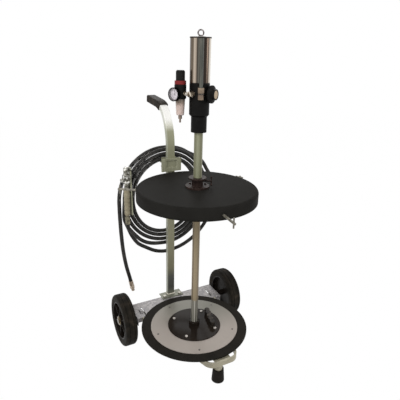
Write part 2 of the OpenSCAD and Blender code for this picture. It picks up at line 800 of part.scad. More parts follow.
// Air motor
module eye_bolt() {
    eye_flat = eye_d / 2 - sqrt(eye_wire * eye_wire - eye_flat_w * eye_flat_w) / 2;
    color("#cfccc0") on_pump() {
        translate([0, 0, eye_z]) rotate([90, 0, -rim_turn]) rotate_extrude() difference() {
            translate([eye_d / 2, 0]) circle(d = eye_wire);
            translate([0, -eye_wire]) square([eye_flat, 2 * eye_wire]);
        }
        translate([0, 0, cylinder_top - thin]) 
            cylinder(d = eye_stud_d, h = eye_rise - eye_d / 2 - eye_wire / 4 + thin);
        translate([0, 0, cylinder_top + cap_t]) cylinder(d = eye_collar_d, h = thin);
    }
}
module top_cap() {
    color("#8f8b86") on_ports() difference() {
        union() {
            translate([0, 0, cylinder_top]) cylinder(d = motor_d + thin, h = cap_t);
            translate([0, 0, cylinder_top - cap_step]) cylinder(d = motor_d - 2 * cylinder_wall, h = cap_step);
            rotate(-135) translate([transfer_r, 0, cylinder_top]) cylinder(d = ear_d, h = cap_t);
            rotate(-135) translate([0, -ear_d / 2, cylinder_top]) cube([transfer_r, ear_d, cap_t]);
        }
        translate([0, 0, cylinder_top - thin]) cylinder(d = eye_stud_d, h = cap_t + 2 * thin);
        rotate(-135) translate([transfer_r, 0, cylinder_top - edge]) cylinder(d = transfer_d, h = edge + cap_t / 2);
    }
}
module motor_cylinder() {
    color("#c7c1b8") on_pump() translate([0, 0, cylinder_z])
        pipe(motor_d, motor_d - 2 * cylinder_wall, cylinder_top - cylinder_z);
}
module motor_body() {
    color("#1d1c1c") on_ports() difference() {
        rotate_extrude() polygon([[0, body_z], [motor_d / 2 - body_chamfer, body_z],
            [motor_d / 2, body_z + body_chamfer], [motor_d / 2, cylinder_z], [0, cylinder_z]]);
        translate([0, 0, body_z - edge]) cylinder(r = rod_d / 2 + run_gap, h = cylinder_z - body_z + 2 * edge);
        rotate(-135) translate([transfer_r, 0, port_z - nut_lower_h - thin])
            cylinder(d = nut_flats / cos(30) + edge, h = cylinder_z);
        rotate(-135) translate([spigot_in, 0, port_z - nut_lower_h / 2]) along_x() cylinder(r = port_r, h = motor_d);
        rotate(180) translate([spigot_in, 0, port_z]) along_x() cylinder(r = port_r, h = motor_d);
        rotate(silencer_turn) translate([spigot_in, 0, port_z]) along_x() cylinder(d = spigot_d, h = motor_d);
    }
}
module pump_neck() {
    color("#1d1c1c") on_ports() difference() {
        translate([0, 0, neck_z]) cylinder(d = neck_d, h = body_z - neck_z);
        translate([0, 0, neck_z - edge]) cylinder(r = rod_d / 2 + run_gap, h = body_z - neck_z + 2 * edge);
        translate([0, 0, neck_z - edge]) cylinder(d = tube_bore, h = outlet_z - neck_z + port_r + edge);
        rotate(90) translate([tube_bore / 2 - edge, 0, outlet_z]) along_x() cylinder(r = outlet_r - thin, h = neck_d);
        rotate(90) translate([neck_d / 2 - outlet_l, 0, outlet_z]) along_x() cylinder(r = outlet_r, h = neck_d);
    }
}
module transfer_tube() {
    color("#85857b") on_ports() rotate(-135) translate([transfer_r, 0, port_z + thin])
        cylinder(d = transfer_d, h = cylinder_top + cap_t / 2 - port_z - thin);
}
module tube_nuts() {
    color("#a08a6e") on_ports() rotate(-135) {
        difference() {
            translate([transfer_r, 0, port_z]) hexagon(nut_flats, nut_upper_h);
            translate([transfer_r, 0, port_z + thin]) cylinder(d = transfer_d, h = nut_upper_h);
        }
        translate([transfer_r, 0, port_z - nut_lower_h]) cylinder(d = nut_flats, h = nut_lower_h);
        translate([spigot_in, 0, port_z - nut_lower_h / 2]) along_x() cylinder(r = port_r, h = transfer_r - spigot_in);
    }
}
module silencer_housing() {
    color("#1b1b1b") on_ports() rotate(silencer_turn) translate([0, 0, port_z]) along_x() {
        translate([0, 0, spigot_in]) cylinder(d = spigot_d, h = housing_in - spigot_in);
        translate([0, 0, housing_in - collar_t]) cylinder(d = collar_d, h = collar_t);
        difference() {
            rotate_extrude() polygon([[0, housing_in], [silencer_d / 2 - thin, housing_in], [silencer_d / 2, housing_in + thin],
                [silencer_d / 2, housing_in + housing_t - thin], [collar_d / 2 + thin, housing_in + housing_t + thin],
                [collar_d / 2, housing_in + housing_t + 2 * thin], [collar_d / 2, silencer_r], [0, silencer_r]]);
            translate([0, 0, silencer_r - element_in]) cylinder(d = element_d, h = silencer_r);
        }
    }
}
module silencer_disc() {
    color("#e3cfae") on_ports() rotate(silencer_turn) translate([silencer_r - element_in, 0, port_z]) along_x()
        cylinder(d = element_d, h = element_t);
}
module inlet_elbow() {
    color("#b39b78") on_ports() {
        rotate(180) translate([spigot_in, 0, port_z]) along_x() cylinder(r = port_r, h = elbow_r - spigot_in);
        translate([-elbow_r - elbow_d / 2, 0, port_z]) along_x()
            hexagon(elbow_flats, elbow_r + elbow_d / 2 - motor_d / 2 - seat_gap);
        translate([-elbow_r, 0, port_z]) rotate([-90, 0, 0]) {
            hexagon(elbow_flats - thin, elbow_d / 2);
            cylinder(d = nipple_d, h = nipple_run - regulator_d / 2 + socket_l - edge);
        }
    }
}

// Pump tube, stepped: intake end, tube, and the sleeve that carries the cover
module sleeve_tube() {
    color("#a6a890") on_pump() translate([0, 0, sleeve_z]) pipe(sleeve_d, tube_d, neck_z - sleeve_z);
}
module pump_tube() {
    color("#a4937c") on_pump() difference() {
        union() {
            translate([0, 0, base_z]) cylinder(d = intake_d, h = intake_top - base_z);
            translate([0, 0, intake_top]) cylinder(d = tube_d, h = neck_z - intake_top);
        }
        translate([0, 0, base_z - edge]) cylinder(d = tube_bore, h = neck_z);
        for (a = [0, 90]) rotate(a) translate([0, 0, base_z]) cube([2 * tube_d, tube_d / 3, tube_d / 3], center = true);
    }
}

// Moving parts inside the motor and the tube
module air_piston() {
    color("#9a9a98") on_pump() difference() {
        translate([0, 0, piston_z]) cylinder(d = motor_d - 2 * cylinder_wall - 4 * run_gap, h = piston_t);
        translate([0, 0, piston_z - edge]) cylinder(d = rod_d, h = piston_t + 2 * edge);
        translate([0, 0, piston_z + (piston_t - seal_w) / 2])
            pipe(motor_d, motor_d - 2 * cylinder_wall - 2 * seal_depth, seal_w);
    }
}
module piston_seal() {
    color("#20201f") on_pump() translate([0, 0, piston_z + (piston_t - seal_w) / 2])
        pipe(motor_d - 2 * cylinder_wall - 2 * run_gap, motor_d - 2 * cylinder_wall - 2 * seal_depth, seal_w);
}
module plunger_rod() {
    low_z = plate_top + 2 * tube_d;
    color("#b5b5b2") on_pump() {
        translate([0, 0, low_z]) cylinder(d = rod_d, h = piston_z + piston_t - low_z);
        translate([0, 0, low_z - edge]) cylinder(d = tube_bore - 2 * run_gap, h = tube_bore);
    }
}

// Filter-regulator and gauge
module regulator_body() {
    body_h = red_ring_z - regulator_z;
    color("#1c1c1c") on_regulator() difference() {
        union() {
            translate([0, 0, regulator_z]) rotate_extrude() polygon([[0, 0], [regulator_d / 2 - thin, 0], [regulator_d / 2, thin],
                [regulator_d / 2, body_h - thin], [regulator_d / 2 - thin, body_h], [0, body_h]]);
            translate([0, nipple_d, port_z]) rotate([-90, 0, 0]) cylinder(d = 2 * nipple_d, h = regulator_d / 2 - nipple_d + thin);
        }
        translate([0, 0, red_ring_z - spring_h - thin]) cylinder(d = regulator_bore, h = spring_h + 2 * thin);
        translate([0, 0, regulator_z - edge]) cylinder(d = filter_d - thin, h = thin + edge);
        translate([0, -regulator_d / 2 - edge, port_z]) rotate([-90, 0, 0]) cylinder(d = nipple_d, h = socket_l);
        translate([0, regulator_d / 2 + thin - outlet_l, port_z]) rotate([-90, 0, 0]) cylinder(r = outlet_r, h = outlet_l + edge);
        translate([-regulator_d / 2 - edge, 0, gauge_z]) along_x() cylinder(d = nipple_d, h = socket_l);
    }
}
module regulator_ring() {
    color("#b3282c") on_regulator() translate([0, 0, red_ring_z]) difference() {
        cylinder(d = red_ring_d, h = red_ring_h);
        translate([0, 0, -edge]) cylinder(d = regulator_bore, h = red_ring_h - thin);
        translate([0, 0, -edge]) cylinder(r = screw_d / 2 + run_gap, h = red_ring_h + 2 * edge);
    }
}
module regulator_screw() {
    color("#b5b2a6") on_regulator() {
        translate([0, 0, red_ring_z + seat_gap]) cylinder(d = screw_d, h = knob_h);
        translate([0, 0, red_ring_z + seat_gap]) cylinder(d = spring_d + thin, h = thin);
    }
}
knob_z = red_ring_z + red_ring_h + seat_gap;
module regulator_knob() {
    color("#1a1a1a") on_regulator() translate([0, 0, knob_z]) difference() {
        union() {
            cylinder(d = knob_d, h = knob_h - thin);
            cylinder(d = knob_d - 2 * thin, h = knob_h);
            for (a = [0:15:345]) rotate(a) translate([knob_d / 2 - edge, 0, 0]) 
                cylinder(r = knob_rib_r, h = knob_h - 2 * thin, $fn = 12);
        }
        translate([0, 0, -edge]) cylinder(r = screw_d / 2 + run_gap, h = knob_h - knob_roof);
    }
}
module regulator_spring() {
    color("#8a8a86") on_regulator() translate([0, 0, red_ring_z - spring_h]) sweep(spring_path, spring_wire / 2, 6, [0, 0, 1]);
}
module filter_bowl() {
    low = regulator_z - bowl_z;
    color("#d9c3bd") on_regulator() translate([0, 0, bowl_z]) rotate_extrude() polygon([[drain_d / 4, 0],
        [bowl_low_d / 2 - thin, 0], [bowl_low_d / 2, thin], [bowl_top_d / 2, low], [bowl_top_d / 2 - bowl_wall, low],
        [bowl_low_d / 2 - bowl_wall, thin + bowl_wall], [drain_d / 4, thin + bowl_wall]]);
}
module filter_element() {
    color("#a9854e") on_regulator() {
        translate([0, 0, regulator_z - filter_h]) cylinder(d = filter_d, h = filter_h);
        translate([0, 0, regulator_z]) cylinder(d = filter_d - thin, h = thin);
    }
}
module drain_valve() {
    color("#8c7468") on_regulator() {
        translate([0, 0, bowl_z - drain_h / 2]) cylinder(d = drain_d, h = drain_h / 2 - seat_gap);
        translate([0, 0, bowl_z - drain_h]) cylinder(d = drain_d / 2, h = drain_h / 2);
        translate([0, 0, bowl_z - edge]) cylinder(r = drain_d / 4 - run_gap, h = thin + bowl_wall + edge);
    }
}
module on_gauge() {
    on_regulator() translate([-regulator_d / 2, 0, gauge_z]) rotate([0, -90, 0]) children();
}
module gauge_case() {
    color("#1a1a1a") on_gauge() {
        translate([0, 0, edge - socket_l]) cylinder(d = nipple_d, h = gauge_stem + socket_l);
        translate([0, 0, gauge_stem]) difference() {
            cylinder(d = gauge_d, h = gauge_case_t);
            translate([0, 0, gauge_wall]) cylinder(d = gauge_d - 2 * gauge_wall, h = gauge_case_t);
        }
    }
}
module gauge_dial() {
    color("#ded9dc") on_gauge() translate([0, 0, gauge_stem + gauge_wall]) {
        cylinder(d = gauge_d - 2 * gauge_wall, h = dial_t);
        translate([0, 0, dial_t]) cylinder(r = edge, h = thin);
    }
}
module gauge_needle() {
    color("#222222") on_gauge() translate([0, 0, gauge_stem + gauge_wall + 2 * dial_t]) difference() {
        union() {
            cylinder(r = thin, h = edge);
            translate([-needle_l / 4, -needle_w / 2, 0]) cube([needle_l * 5 / 4, needle_w, dial_t]);
        }
        translate([0, 0, -edge]) cylinder(r = edge + run_gap, h = edge + thin);
    }
}
module gauge_lens() {
    color("#e6e8ea") on_gauge() translate([0, 0, gauge_stem + gauge_case_t - lens_t - edge])
        cylinder(d = gauge_d - 2 * gauge_wall, h = lens_t);
}

// Drum cover with its collar and screws
module cover_disc() {
    r = cover_d / 2;
    color("#2b2a2a") on_pump() difference() {
        union() {
            rotate_extrude() {
                translate([sleeve_d / 2 + edge, cover_top - cover_t]) square([r - cover_round - sleeve_d / 2 - edge, cover_t]);
                translate([r - cover_t, skirt_z]) square([cover_t, skirt_h - cover_round]);
                translate([r - cover_round, cover_top - cover_round]) intersection() {
                    difference() {
                        circle(cover_round);
                        circle(cover_round - cover_t);
                    }
                    square(cover_round);
                }
            }
            for (a = [0, 120, 240]) rotate(rim_turn + a) translate([r - rim_boss_l, 0, rim_z]) along_x()
                cylinder(d = rim_boss_d, h = rim_boss_l - cover_t / 2);
        }
        for (a = [0, 120, 240]) rotate(rim_turn + a) translate([r / 2, 0, rim_z]) along_x()
            cylinder(r = rim_screw_d / 2 + run_gap, h = r);
        for (a = [0, 120, 240]) rotate(a) translate([collar_bolt_r, 0, 0]) cylinder(d = collar_bolt_d, h = cover_top + edge);
    }
}
module cover_collar() {
    color("#3a2a27") on_pump() difference() {
        union() {
            translate([0, 0, cover_top]) cylinder(d = flange_d, h = flange_h);
            translate([0, 0, cover_top]) cylinder(d = boss_d, h = collar_h);
            translate([0, 0, cover_top + collar_h - collar_top_t]) cylinder(d = collar_top_d, h = collar_top_t);
        }
        translate([0, 0, cover_top - edge]) cylinder(r = sleeve_d / 2 + run_gap, h = collar_h + 2 * edge);
        rotate(clamp_turn) translate([0, 0, clamp_z]) along_x() cylinder(r = clamp_d / 2 + run_gap, h = boss_d);
        for (a = [0, 120, 240]) rotate(a) translate([collar_bolt_r, 0, 0])
            cylinder(d = collar_bolt_d, h = cover_top + collar_h / 2);
    }
}
module collar_bolts() {
    color("#4a3733") on_pump() for (a = [0, 120, 240]) rotate(a) translate([collar_bolt_r, 0, 0]) {
        translate([0, 0, cover_top + flange_h]) hexagon(collar_bolt_flats, collar_bolt_h);
        translate([0, 0, cover_top - cover_t - collar_nut_h]) {
            cylinder(d = collar_bolt_d, h = cover_t + flange_h + collar_nut_h);
            hexagon(collar_bolt_flats, collar_nut_h);
        }
    }
}
module clamp_screw() {
    color("#5a4a45") on_pump() rotate(clamp_turn) {
        translate([sleeve_d / 2 + seat_gap, 0, clamp_z]) along_x() cylinder(d = clamp_d, h = clamp_r - sleeve_d / 2);
        translate([clamp_r, 0, clamp_z - clamp_bar_l / 2]) cylinder(d = clamp_bar_d, h = clamp_bar_l);
        for (z = [-1, 1]) translate([clamp_r, 0, clamp_z + z * clamp_bar_l / 2]) sphere(d = clamp_ball_d);
    }
}
module rim_screw(turn, bar_turn = 0) {
    color("#b5ada0") on_pump() rotate(turn) {
        translate([rim_tip_r, 0, rim_z]) along_x() cylinder(d = rim_screw_d, h = rim_reach - rim_tip_r);
        translate([rim_bar_r, 0, rim_z]) rotate([bar_turn, 0, 0]) translate([0, 0, -rim_bar_l / 2])
            cylinder(d = rim_bar_d, h = rim_bar_l);
    }
}
module rim_screw_front() {
    rim_screw(front_screw_turn);
}
module rim_screw_right() {
    rim_screw(rim_turn, 90);
}
module rim_screw_left() {
    rim_screw(rim_turn + 120);
}

// Follower plate
module follower_wiper() {
    color("#2b2927") on_pump() translate([0, 0, follower_z]) pipe(wiper_d, wiper_bore, wiper_t);
}
module follower_ring() {
    color("#a89f97") on_pump() translate([0, 0, ring_z]) difference() {
        pipe(ring_d, ring_bore, ring_t);
        for (a = [0:72:288]) rotate(rivet_turn + a) translate([rivet_r, 0, -edge])
            cylinder(d = rivet_d / 2, h = ring_t + 2 * edge);
        for (a = [0:90:270]) rotate(bolt_turn + a) translate([follower_bolt_r, 0, -edge])
            cylinder(d = follower_bolt_d / 2, h = ring_t + 2 * edge);
    }
}
module follower_dome() {
    bore_r = tube_d / 2 + run_gap;
    color("#191717") on_pump() difference() {
        rotate_extrude() polygon([[bore_r, ring_z], [ring_bore / 2, ring_z], [ring_bore / 2, dome_z], [dome_d / 2, dome_z],
            [dome_d / 2, dome_top - edge], [dome_d / 2 - edge, dome_top], [bush_d / 2, dome_top],
            [bush_d / 2, dome_z + bush_h - thin], [bush_d / 2 - thin, dome_z + bush_h], [bore_r, dome_z + bush_h]]);
        for (a = [0:90:270]) rotate(bolt_turn + a) translate([follower_bolt_r, 0, dome_z - edge])
            cylinder(d = follower_bolt_d / 2, h = bush_h);
    }
}
module follower_screws() {
    color("#cfc9c2") on_pump() {
        for (a = [0:90:270]) rotate(bolt_turn + a) translate([follower_bolt_r, 0, 0]) {
            translate([0, 0, dome_top]) cylinder(d = follower_bolt_d, h = follower_head_h);
            translate([0, 0, ring_z]) cylinder(d = follower_bolt_d / 2, h = dome_top - ring_z);
        }
        for (a = [0:72:288]) rotate(rivet_turn + a) translate([rivet_r, 0, 0]) {
            translate([0, 0, ring_z + ring_t]) cylinder(d = rivet_d, h = edge);
            translate([0, 0, ring_z]) cylinder(d = rivet_d / 2, h = ring_t);
        }
    }
}
module follower_handle() {
    color("#161515") on_pump() rotate(handle_turn) translate([handle_r, 0, dome_top]) rotate(handle_tilt) {
        for (y = [-1, 1]) translate([0, y * (handle_l - lobe_d) / 2, 0])
            cylinder(d = lobe_d - thin, h = handle_gap + handle_bar / 2);
        translate([-handle_w / 2, -(handle_l - lobe_d) / 2, handle_gap]) cube([handle_w, handle_l - lobe_d, handle_bar]);
        for (y = [-2:2]) translate([0, y * (handle_l - lobe_d) / 4, handle_gap])
            cylinder(d = abs(y) < 2 ? lobe_d + thin : lobe_d, h = handle_bar + thin);
    }
}

// Hose: the wound part, its free tail and the fitting on the end
module hose_coil() {
    color("#262524") on_axle() sweep(coil_path, hose_d / 2, hose_sides, [0, 1, 0]);
}
module hose_tail() {
    color("#262524") on_axle() sweep(tail_path, hose_d / 2, hose_sides, [0, 1, 0]);
}
module hose_fitting() {
    last = len(tail_route) - 1;
    way = tail_route[last] - tail_route[last - 1];
    color("#b99f7c") on_axle() translate(tail_route[last]) rotate([0, atan2(way[0], way[2]), 0]) {
        cylinder(d = ferrule_d, h = fitting_l / 2);
        translate([0, 0, fitting_l / 2]) hexagon(hose_d + thin, fitting_l / 4);
        difference() {
            translate([0, 0, fitting_l / 2]) cylinder(d = hose_d - thin, h = fitting_l / 2);
            translate([0, 0, fitting_l * 3 / 4]) cylinder(d = hose_d / 2, h = fitting_l);
        }
    }
}

// Grease gun hung beside the coil
module on_gun() {
    on_axle() translate([gun_at[0], gun_at[1], gun_z]) children();
}
module gun_swivel() {
    color("#b8a684") on_gun() {
        cylinder(d = ferrule_d, h = gun_nut_z);
        translate([0, 0, gun_nut_z]) hexagon(ferrule_d, gun_hex_h);
        cylinder(d = hose_d - thin, h = gun_grip_z);
    }
}
module gun_grip() {
    color("#a39078") on_gun() translate([0, 0, gun_grip_z]) {
        rotate_extrude() polygon([[0, 0], [gun_grip_d / 2 - thin - edge, 0], [gun_grip_d / 2 - thin, thin],
            [gun_grip_d / 2 - edge, gun_grip_h], [0, gun_grip_h]]);
        for (k = [0:4]) translate([0, 0, (k + rib_first_share) * rib_pitch]) rotate_extrude()
            translate([(gun_grip_d - rib_depth) / 2 - edge + k * edge / 5, 0])
                rounded_box(rib_depth, rib_pitch * rib_share, thin);
    }
}
module gun_body() {
    color("#b9bab5") on_gun() difference() {
        union() {
            translate([0, 0, gun_grip_z + gun_grip_h]) cylinder(d = hose_d + thin, h = gun_block_z - gun_grip_z - gun_grip_h);
            translate([0, 0, gun_block_z + gun_block_h / 2]) cube([block_w, block_w - thin, gun_block_h], center = true);
            translate([0, 0, gun_block_z + gun_block_h]) cylinder(d = block_w - 2 * thin, h = gun_head_h);
            translate([0, 0, gun_block_z + gun_block_h + gun_head_h]) cylinder(d = hose_d - thin, h = gun_tip_h);
            rotate([0, -90, 0]) translate([gun_block_z + gun_block_h / 3, 0, 0]) cylinder(d = hose_d - thin, h = block_w - thin);
            for (y = [-1, 1]) translate([gun_lever_x / 2, y * (gun_lever_w / 2 + edge + run_gap), gun_lever_top])
                cube([gun_lever_x + gun_ear_run, thin, 3 * gun_lever_t], center = true);
        }
        translate([gun_lever_x, block_w, gun_lever_top]) rotate([90, 0, 0]) cylinder(r = gun_pin_d / 2 + run_gap, h = 2 * block_w);
    }
}
module gun_lever() {
    color("#a3a58c") on_gun() translate([gun_lever_x, 0, gun_lever_top]) rotate([0, gun_lever_angle, 0]) {
        translate([-gun_lever_t / 2, -gun_lever_w / 2, -gun_lever_l]) cube([gun_lever_t, gun_lever_w, gun_lever_l]);
        rotate([90, 0, 0]) translate([0, 0, -gun_lever_w / 2]) cylinder(d = 2 * gun_lever_t, h = gun_lever_w);
        rotate([90, 0, 0]) translate([0, 0, -gun_lever_w / 2 - 2 * thin]) cylinder(d = gun_pin_d, h = gun_lever_w + 4 * thin);
    }
}

axle_plate();
axle();
axle_caps();
hub_left();
hub_right();
tyre_left();
tyre_right();
post();
post_grip();
trolley_bolts();
hanger_strap();
hanger_hook();
base_frame();
rubber_foot();
eye_bolt();
top_cap();
motor_cylinder();
motor_body();
pump_neck();
transfer_tube();
tube_nuts();
silencer_housing();
silencer_disc();
inlet_elbow();
sleeve_tube();
pump_tube();
air_piston();
piston_seal();
plunger_rod();
regulator_body();
regulator_ring();
regulator_screw();
regulator_knob();
regulator_spring();
filter_bowl();
filter_element();
drain_valve();
gauge_case();
gauge_dial();
gauge_needle();
gauge_lens();
cover_disc();
cover_collar();
collar_bolts();
clamp_screw();
rim_screw_front();
rim_screw_right();
rim_screw_left();
follower_wiper();
follower_ring();
follower_dome();
follower_screws();
follower_handle();
hose_coil();
hose_tail();
hose_fitting();
gun_swivel();
gun_grip();
gun_body();
gun_lever();
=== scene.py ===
# %% [markdown]
# An air-driven grease pump on a two-wheeled trolley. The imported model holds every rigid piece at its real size.
# This lesson dresses it: a camera that stands where the photographer stood, a hose at its real length, a finish
# for each material, and the small details that a construction model leaves out.

# %% Load the frame
import math

import bmesh
import bpy
from mathutils import Matrix, Vector


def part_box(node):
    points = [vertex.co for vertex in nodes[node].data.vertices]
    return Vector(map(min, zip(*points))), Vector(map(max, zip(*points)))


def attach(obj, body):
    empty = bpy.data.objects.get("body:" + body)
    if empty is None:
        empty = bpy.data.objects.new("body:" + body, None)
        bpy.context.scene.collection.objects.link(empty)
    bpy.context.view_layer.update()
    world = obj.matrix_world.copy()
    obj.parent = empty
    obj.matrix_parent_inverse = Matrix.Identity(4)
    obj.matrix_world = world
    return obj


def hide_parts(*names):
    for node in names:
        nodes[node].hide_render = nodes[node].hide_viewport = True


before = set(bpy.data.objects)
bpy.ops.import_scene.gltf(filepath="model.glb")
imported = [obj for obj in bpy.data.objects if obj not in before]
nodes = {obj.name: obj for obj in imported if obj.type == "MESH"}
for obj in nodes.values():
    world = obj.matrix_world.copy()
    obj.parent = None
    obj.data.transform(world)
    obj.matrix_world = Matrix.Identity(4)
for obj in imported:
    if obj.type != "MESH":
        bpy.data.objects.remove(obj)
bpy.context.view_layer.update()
MM = 0.001

# %% [markdown]
# The camera is fitted to the circles of the cover, the follower plate and the wheels. A camera has three axes:
# X to the right, Y up and Z backwards, so its matrix is built from the direction it looks in and its roll.
# The places are given from the middle of the wheel axle, because the whole trolley is measured from there.

# %% Places on the trolley
axle_low, axle_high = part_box("axle")
AXLE_Y = (axle_low.y + axle_high.y) / 2
cylinder_low, cylinder_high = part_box("motor_cylinder")
PUMP = (cylinder_low + cylinder_high) / 2
print("axle at y", round(AXLE_Y, 4), "pump's axis at", [round(v, 4) for v in PUMP.xy])


def from_axle(x, y, z):
    """A point given in millimetres from the floor under the axle's middle, in the frame's metres."""
    return Vector((x * MM, y * MM + AXLE_Y, z * MM))


# %% [markdown]
# The camera stands before the trolley and to its left, about 1.1 m high and 1.5 m away, and looks down a little.
# Its three axes come from the heading, the pitch and the roll, and a short lens gives the strong perspective.

# %% Camera
CAMERA_AT = from_axle(-631.5, -1326.2, 1090.9)
HEADING = math.radians(28.74)
PITCH = math.radians(19.74)
ROLL = math.radians(1.48)
SENSOR = 36.0
LENS = 36.99

ahead = Vector((math.sin(HEADING) * math.cos(PITCH), math.cos(HEADING) * math.cos(PITCH), -math.sin(PITCH)))
level = Vector((math.cos(HEADING), -math.sin(HEADING), 0))
upright = level.cross(ahead)
right = math.cos(ROLL) * level + math.sin(ROLL) * upright
up = -math.sin(ROLL) * level + math.cos(ROLL) * upright
camera_data = bpy.data.cameras.new("camera")
camera_data.sensor_width = SENSOR
camera_data.lens = LENS
camera = bpy.data.objects.new("camera", camera_data)
camera.matrix_world = Matrix((right, up, -ahead)).transposed().to_4x4()
camera.location = CAMERA_AT
bpy.context.scene.collection.objects.link(camera)
bpy.context.scene.camera = camera
print("camera at", [round(v, 3) for v in camera.location])

# %% [markdown]
# The delivery hose is one length of rubber hose. It leaves the gun's swivel straight down, runs round the
# hanger's two hooks in five loops, inwards in the front layer and outwards again in the back one, and ends in a
# short free tail. The loops share their tops and spread towards the bottom, as a hung hose does: each loop is a
# slightly smaller ellipse whose top is a little over one hose width lower than the last. The last loop hangs slack.
# The measures are in millimetres, and a place on the coil is a number of turns from its left-hand side.

# %% Measures of the coil
HOSE_D = 15 * MM
COIL_X = -8
COIL_TOP = 753
COIL_R = 198
LOOP_DROP = 17.1
LOOP_STEP = 17.3
LAYER_Y = 91
LAYER_GAP = 16
X_SHARE = 0.95
Z_SHARE = 1.03
TURN_FIRST, TURN_IN, TURN_OUT, TURN_SLACK, TURN_LAST = 0.125, 3, 3.5, 3.75, 5
LEAD_SHARE = 0.11
LOOP_POINTS = 32
SLACK_POINTS = 12
SLACK = (0, 2, 6, 11, 31, 54, 70, 71, 70, 58, 30, 6, 0, 0, 0, 0)
GUN_END = (-179, 62, 473)
LEAD_RUN = 16
TAIL = (
    (-196, 107, 521), (-196, 107, 505), (-195, 107, 460), (-193, 107, 408),
    (-188, 107, 339), (-178, 107, 270), (-165, 107, 212), (-162, 107, 197),
)
print("coil:", TURN_LAST - TURN_FIRST, "turns, the outermost", 2 * COIL_R, "mm across")

# %% [markdown]
# A loop is an ellipse about a middle that sinks as the loops get smaller. Where the hose leaves the gun and where it
# changes layer, a smooth step moves the line from front to back without a kink.


# %% The coil's line
def smooth(s):
    """A step from 0 to 1 that starts and ends level."""
    s = min(1, max(0, s))
    return s * s * (3 - 2 * s)


def slack_at(turn):
    """How far the last loop hangs outside its ellipse, in millimetres."""
    k = (turn - TURN_SLACK) * SLACK_POINTS
    if k < 0:
        return 0
    i = min(len(SLACK) - 2, int(k))
    return SLACK[i] + (SLACK[i + 1] - SLACK[i]) * smooth(k - i)


def coil_point(turn):
    """A point of the coil's centreline, after so many turns from the left-hand side."""
    if turn < TURN_IN:
        n = turn
    elif turn < TURN_OUT:
        n = TURN_IN
    else:
        n = TURN_IN * (TURN_LAST - turn) / (TURN_LAST - TURN_OUT)
    y = LAYER_Y + LAYER_GAP * smooth((turn - TURN_IN) / (TURN_OUT - TURN_IN))
    y -= (LAYER_Y - GUN_END[1]) * (1 - smooth((turn - TURN_FIRST) / LEAD_SHARE))
    r = COIL_R - LOOP_STEP * n
    z = COIL_TOP - LOOP_DROP * n - Z_SHARE * r
    out = r + slack_at(turn)
    a = math.radians(180 + 360 * turn)
    return Vector((COIL_X + X_SHARE * out * math.cos(a), y, z + Z_SHARE * out * math.sin(a)))


print("top of the first loop:", [round(v, 1) for v in coil_point(0.75)], "mm from the axle")

# %% [markdown]
# Two helpers for lines. The first is a Catmull-Rom spline, a cubic through every point whose slope there is that of
# the two neighbours. The second puts points at even steps, so that a count of points is a length.


# %% Smooth and even lines
def through(points, steps):
    """A smooth line through points, with straight ends."""
    line = [points[0]]
    for i in range(1, len(points) - 2):
        a, b, c, d = points[i - 1 : i + 3]
        for k in range(steps):
            s = k / steps
            line.append((2 * b + (c - a) * s + (2 * a - 5 * b + 4 * c - d) * s**2 + (3 * b - a - 3 * c + d) * s**3) / 2)
    return line + points[-2:]


def evenly(line, apart):
    """The same line with its points this far apart, so that a count of points is a length."""
    total = sum((b - a).length for a, b in zip(line, line[1:]))
    gap = total / round(total / apart)
    out, need = [line[0]], gap
    for a, b in zip(line, line[1:]):
        run = (b - a).length
        while run > 0 and need <= run + 1e-9:
            out.append(a.lerp(b, need / run))
            need += gap
        need -= run
    out[-1] = line[-1]
    return out


print("a metre in steps of 0.3 m:", len(evenly([Vector((0, 0, 0)), Vector((1, 0, 0))], 0.3)), "points")

# %% [markdown]
# The route runs down from the gun's swivel, round the coil and on to the end of the tail. Its points stand 9 mm
# apart, close enough for its tightest bend of 78 mm to look round.

# %% The hose's route
COIL_FINE, TAIL_FINE = 4, 8
ROUTE_STEP = 9 * MM
start = Vector(GUN_END)
lead = [start, start - Vector((0, 0, LEAD_RUN))]
loops = [coil_point(i / LOOP_POINTS) for i in range(int(TURN_FIRST * LOOP_POINTS), TURN_LAST * LOOP_POINTS + 1)]
wound = through(lead + loops + [Vector(TAIL[0])], COIL_FINE)
tail = through([Vector(p) for p in TAIL], TAIL_FINE)
route = evenly([from_axle(*p) for p in wound + tail[1:]], ROUTE_STEP)
hose_length = sum((b - a).length for a, b in zip(route, route[1:]))
print("hose route:", len(route), "points,", round(hose_length, 3), "m")

# %% [markdown]
# A round tube along a line is what a curve with a bevel depth gives in one step. Its mesh comes with a UV map
# whose U runs from one end to the other, and because the route's points stand at even steps, U is a length. One
# tube replaces the two construction pieces that stand for the hose.


# %% The delivery hose
def tube(name, line, radius, sides=5):
    """A tube along a line of points, made by a curve's own bevel, as a mesh with a UV map."""
    curve = bpy.data.curves.new(name, "CURVE")
    curve.dimensions = "3D"
    curve.bevel_depth = radius
    curve.bevel_resolution = sides
    curve.use_fill_caps = True
    spline = curve.splines.new("POLY")
    spline.points.add(len(line) - 1)
    for point, place in zip(spline.points, line):
        point.co = (*place, 1)
    drawn = bpy.data.objects.new(name, curve)
    bpy.context.scene.collection.objects.link(drawn)
    depsgraph = bpy.context.evaluated_depsgraph_get()
    data = bpy.data.meshes.new_from_object(drawn.evaluated_get(depsgraph))
    bpy.data.objects.remove(drawn)
    data.name = name
    piece = bpy.data.objects.new(name, data)
    bpy.context.scene.collection.objects.link(piece)
    return piece


hose = tube("delivery_hose", route, HOSE_D / 2)
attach(hose, "chassis")
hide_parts("hose_coil", "hose_tail")
print("hose:", len(hose.data.vertices), "vertices,", [layer.name for layer in hose.data.uv_layers])

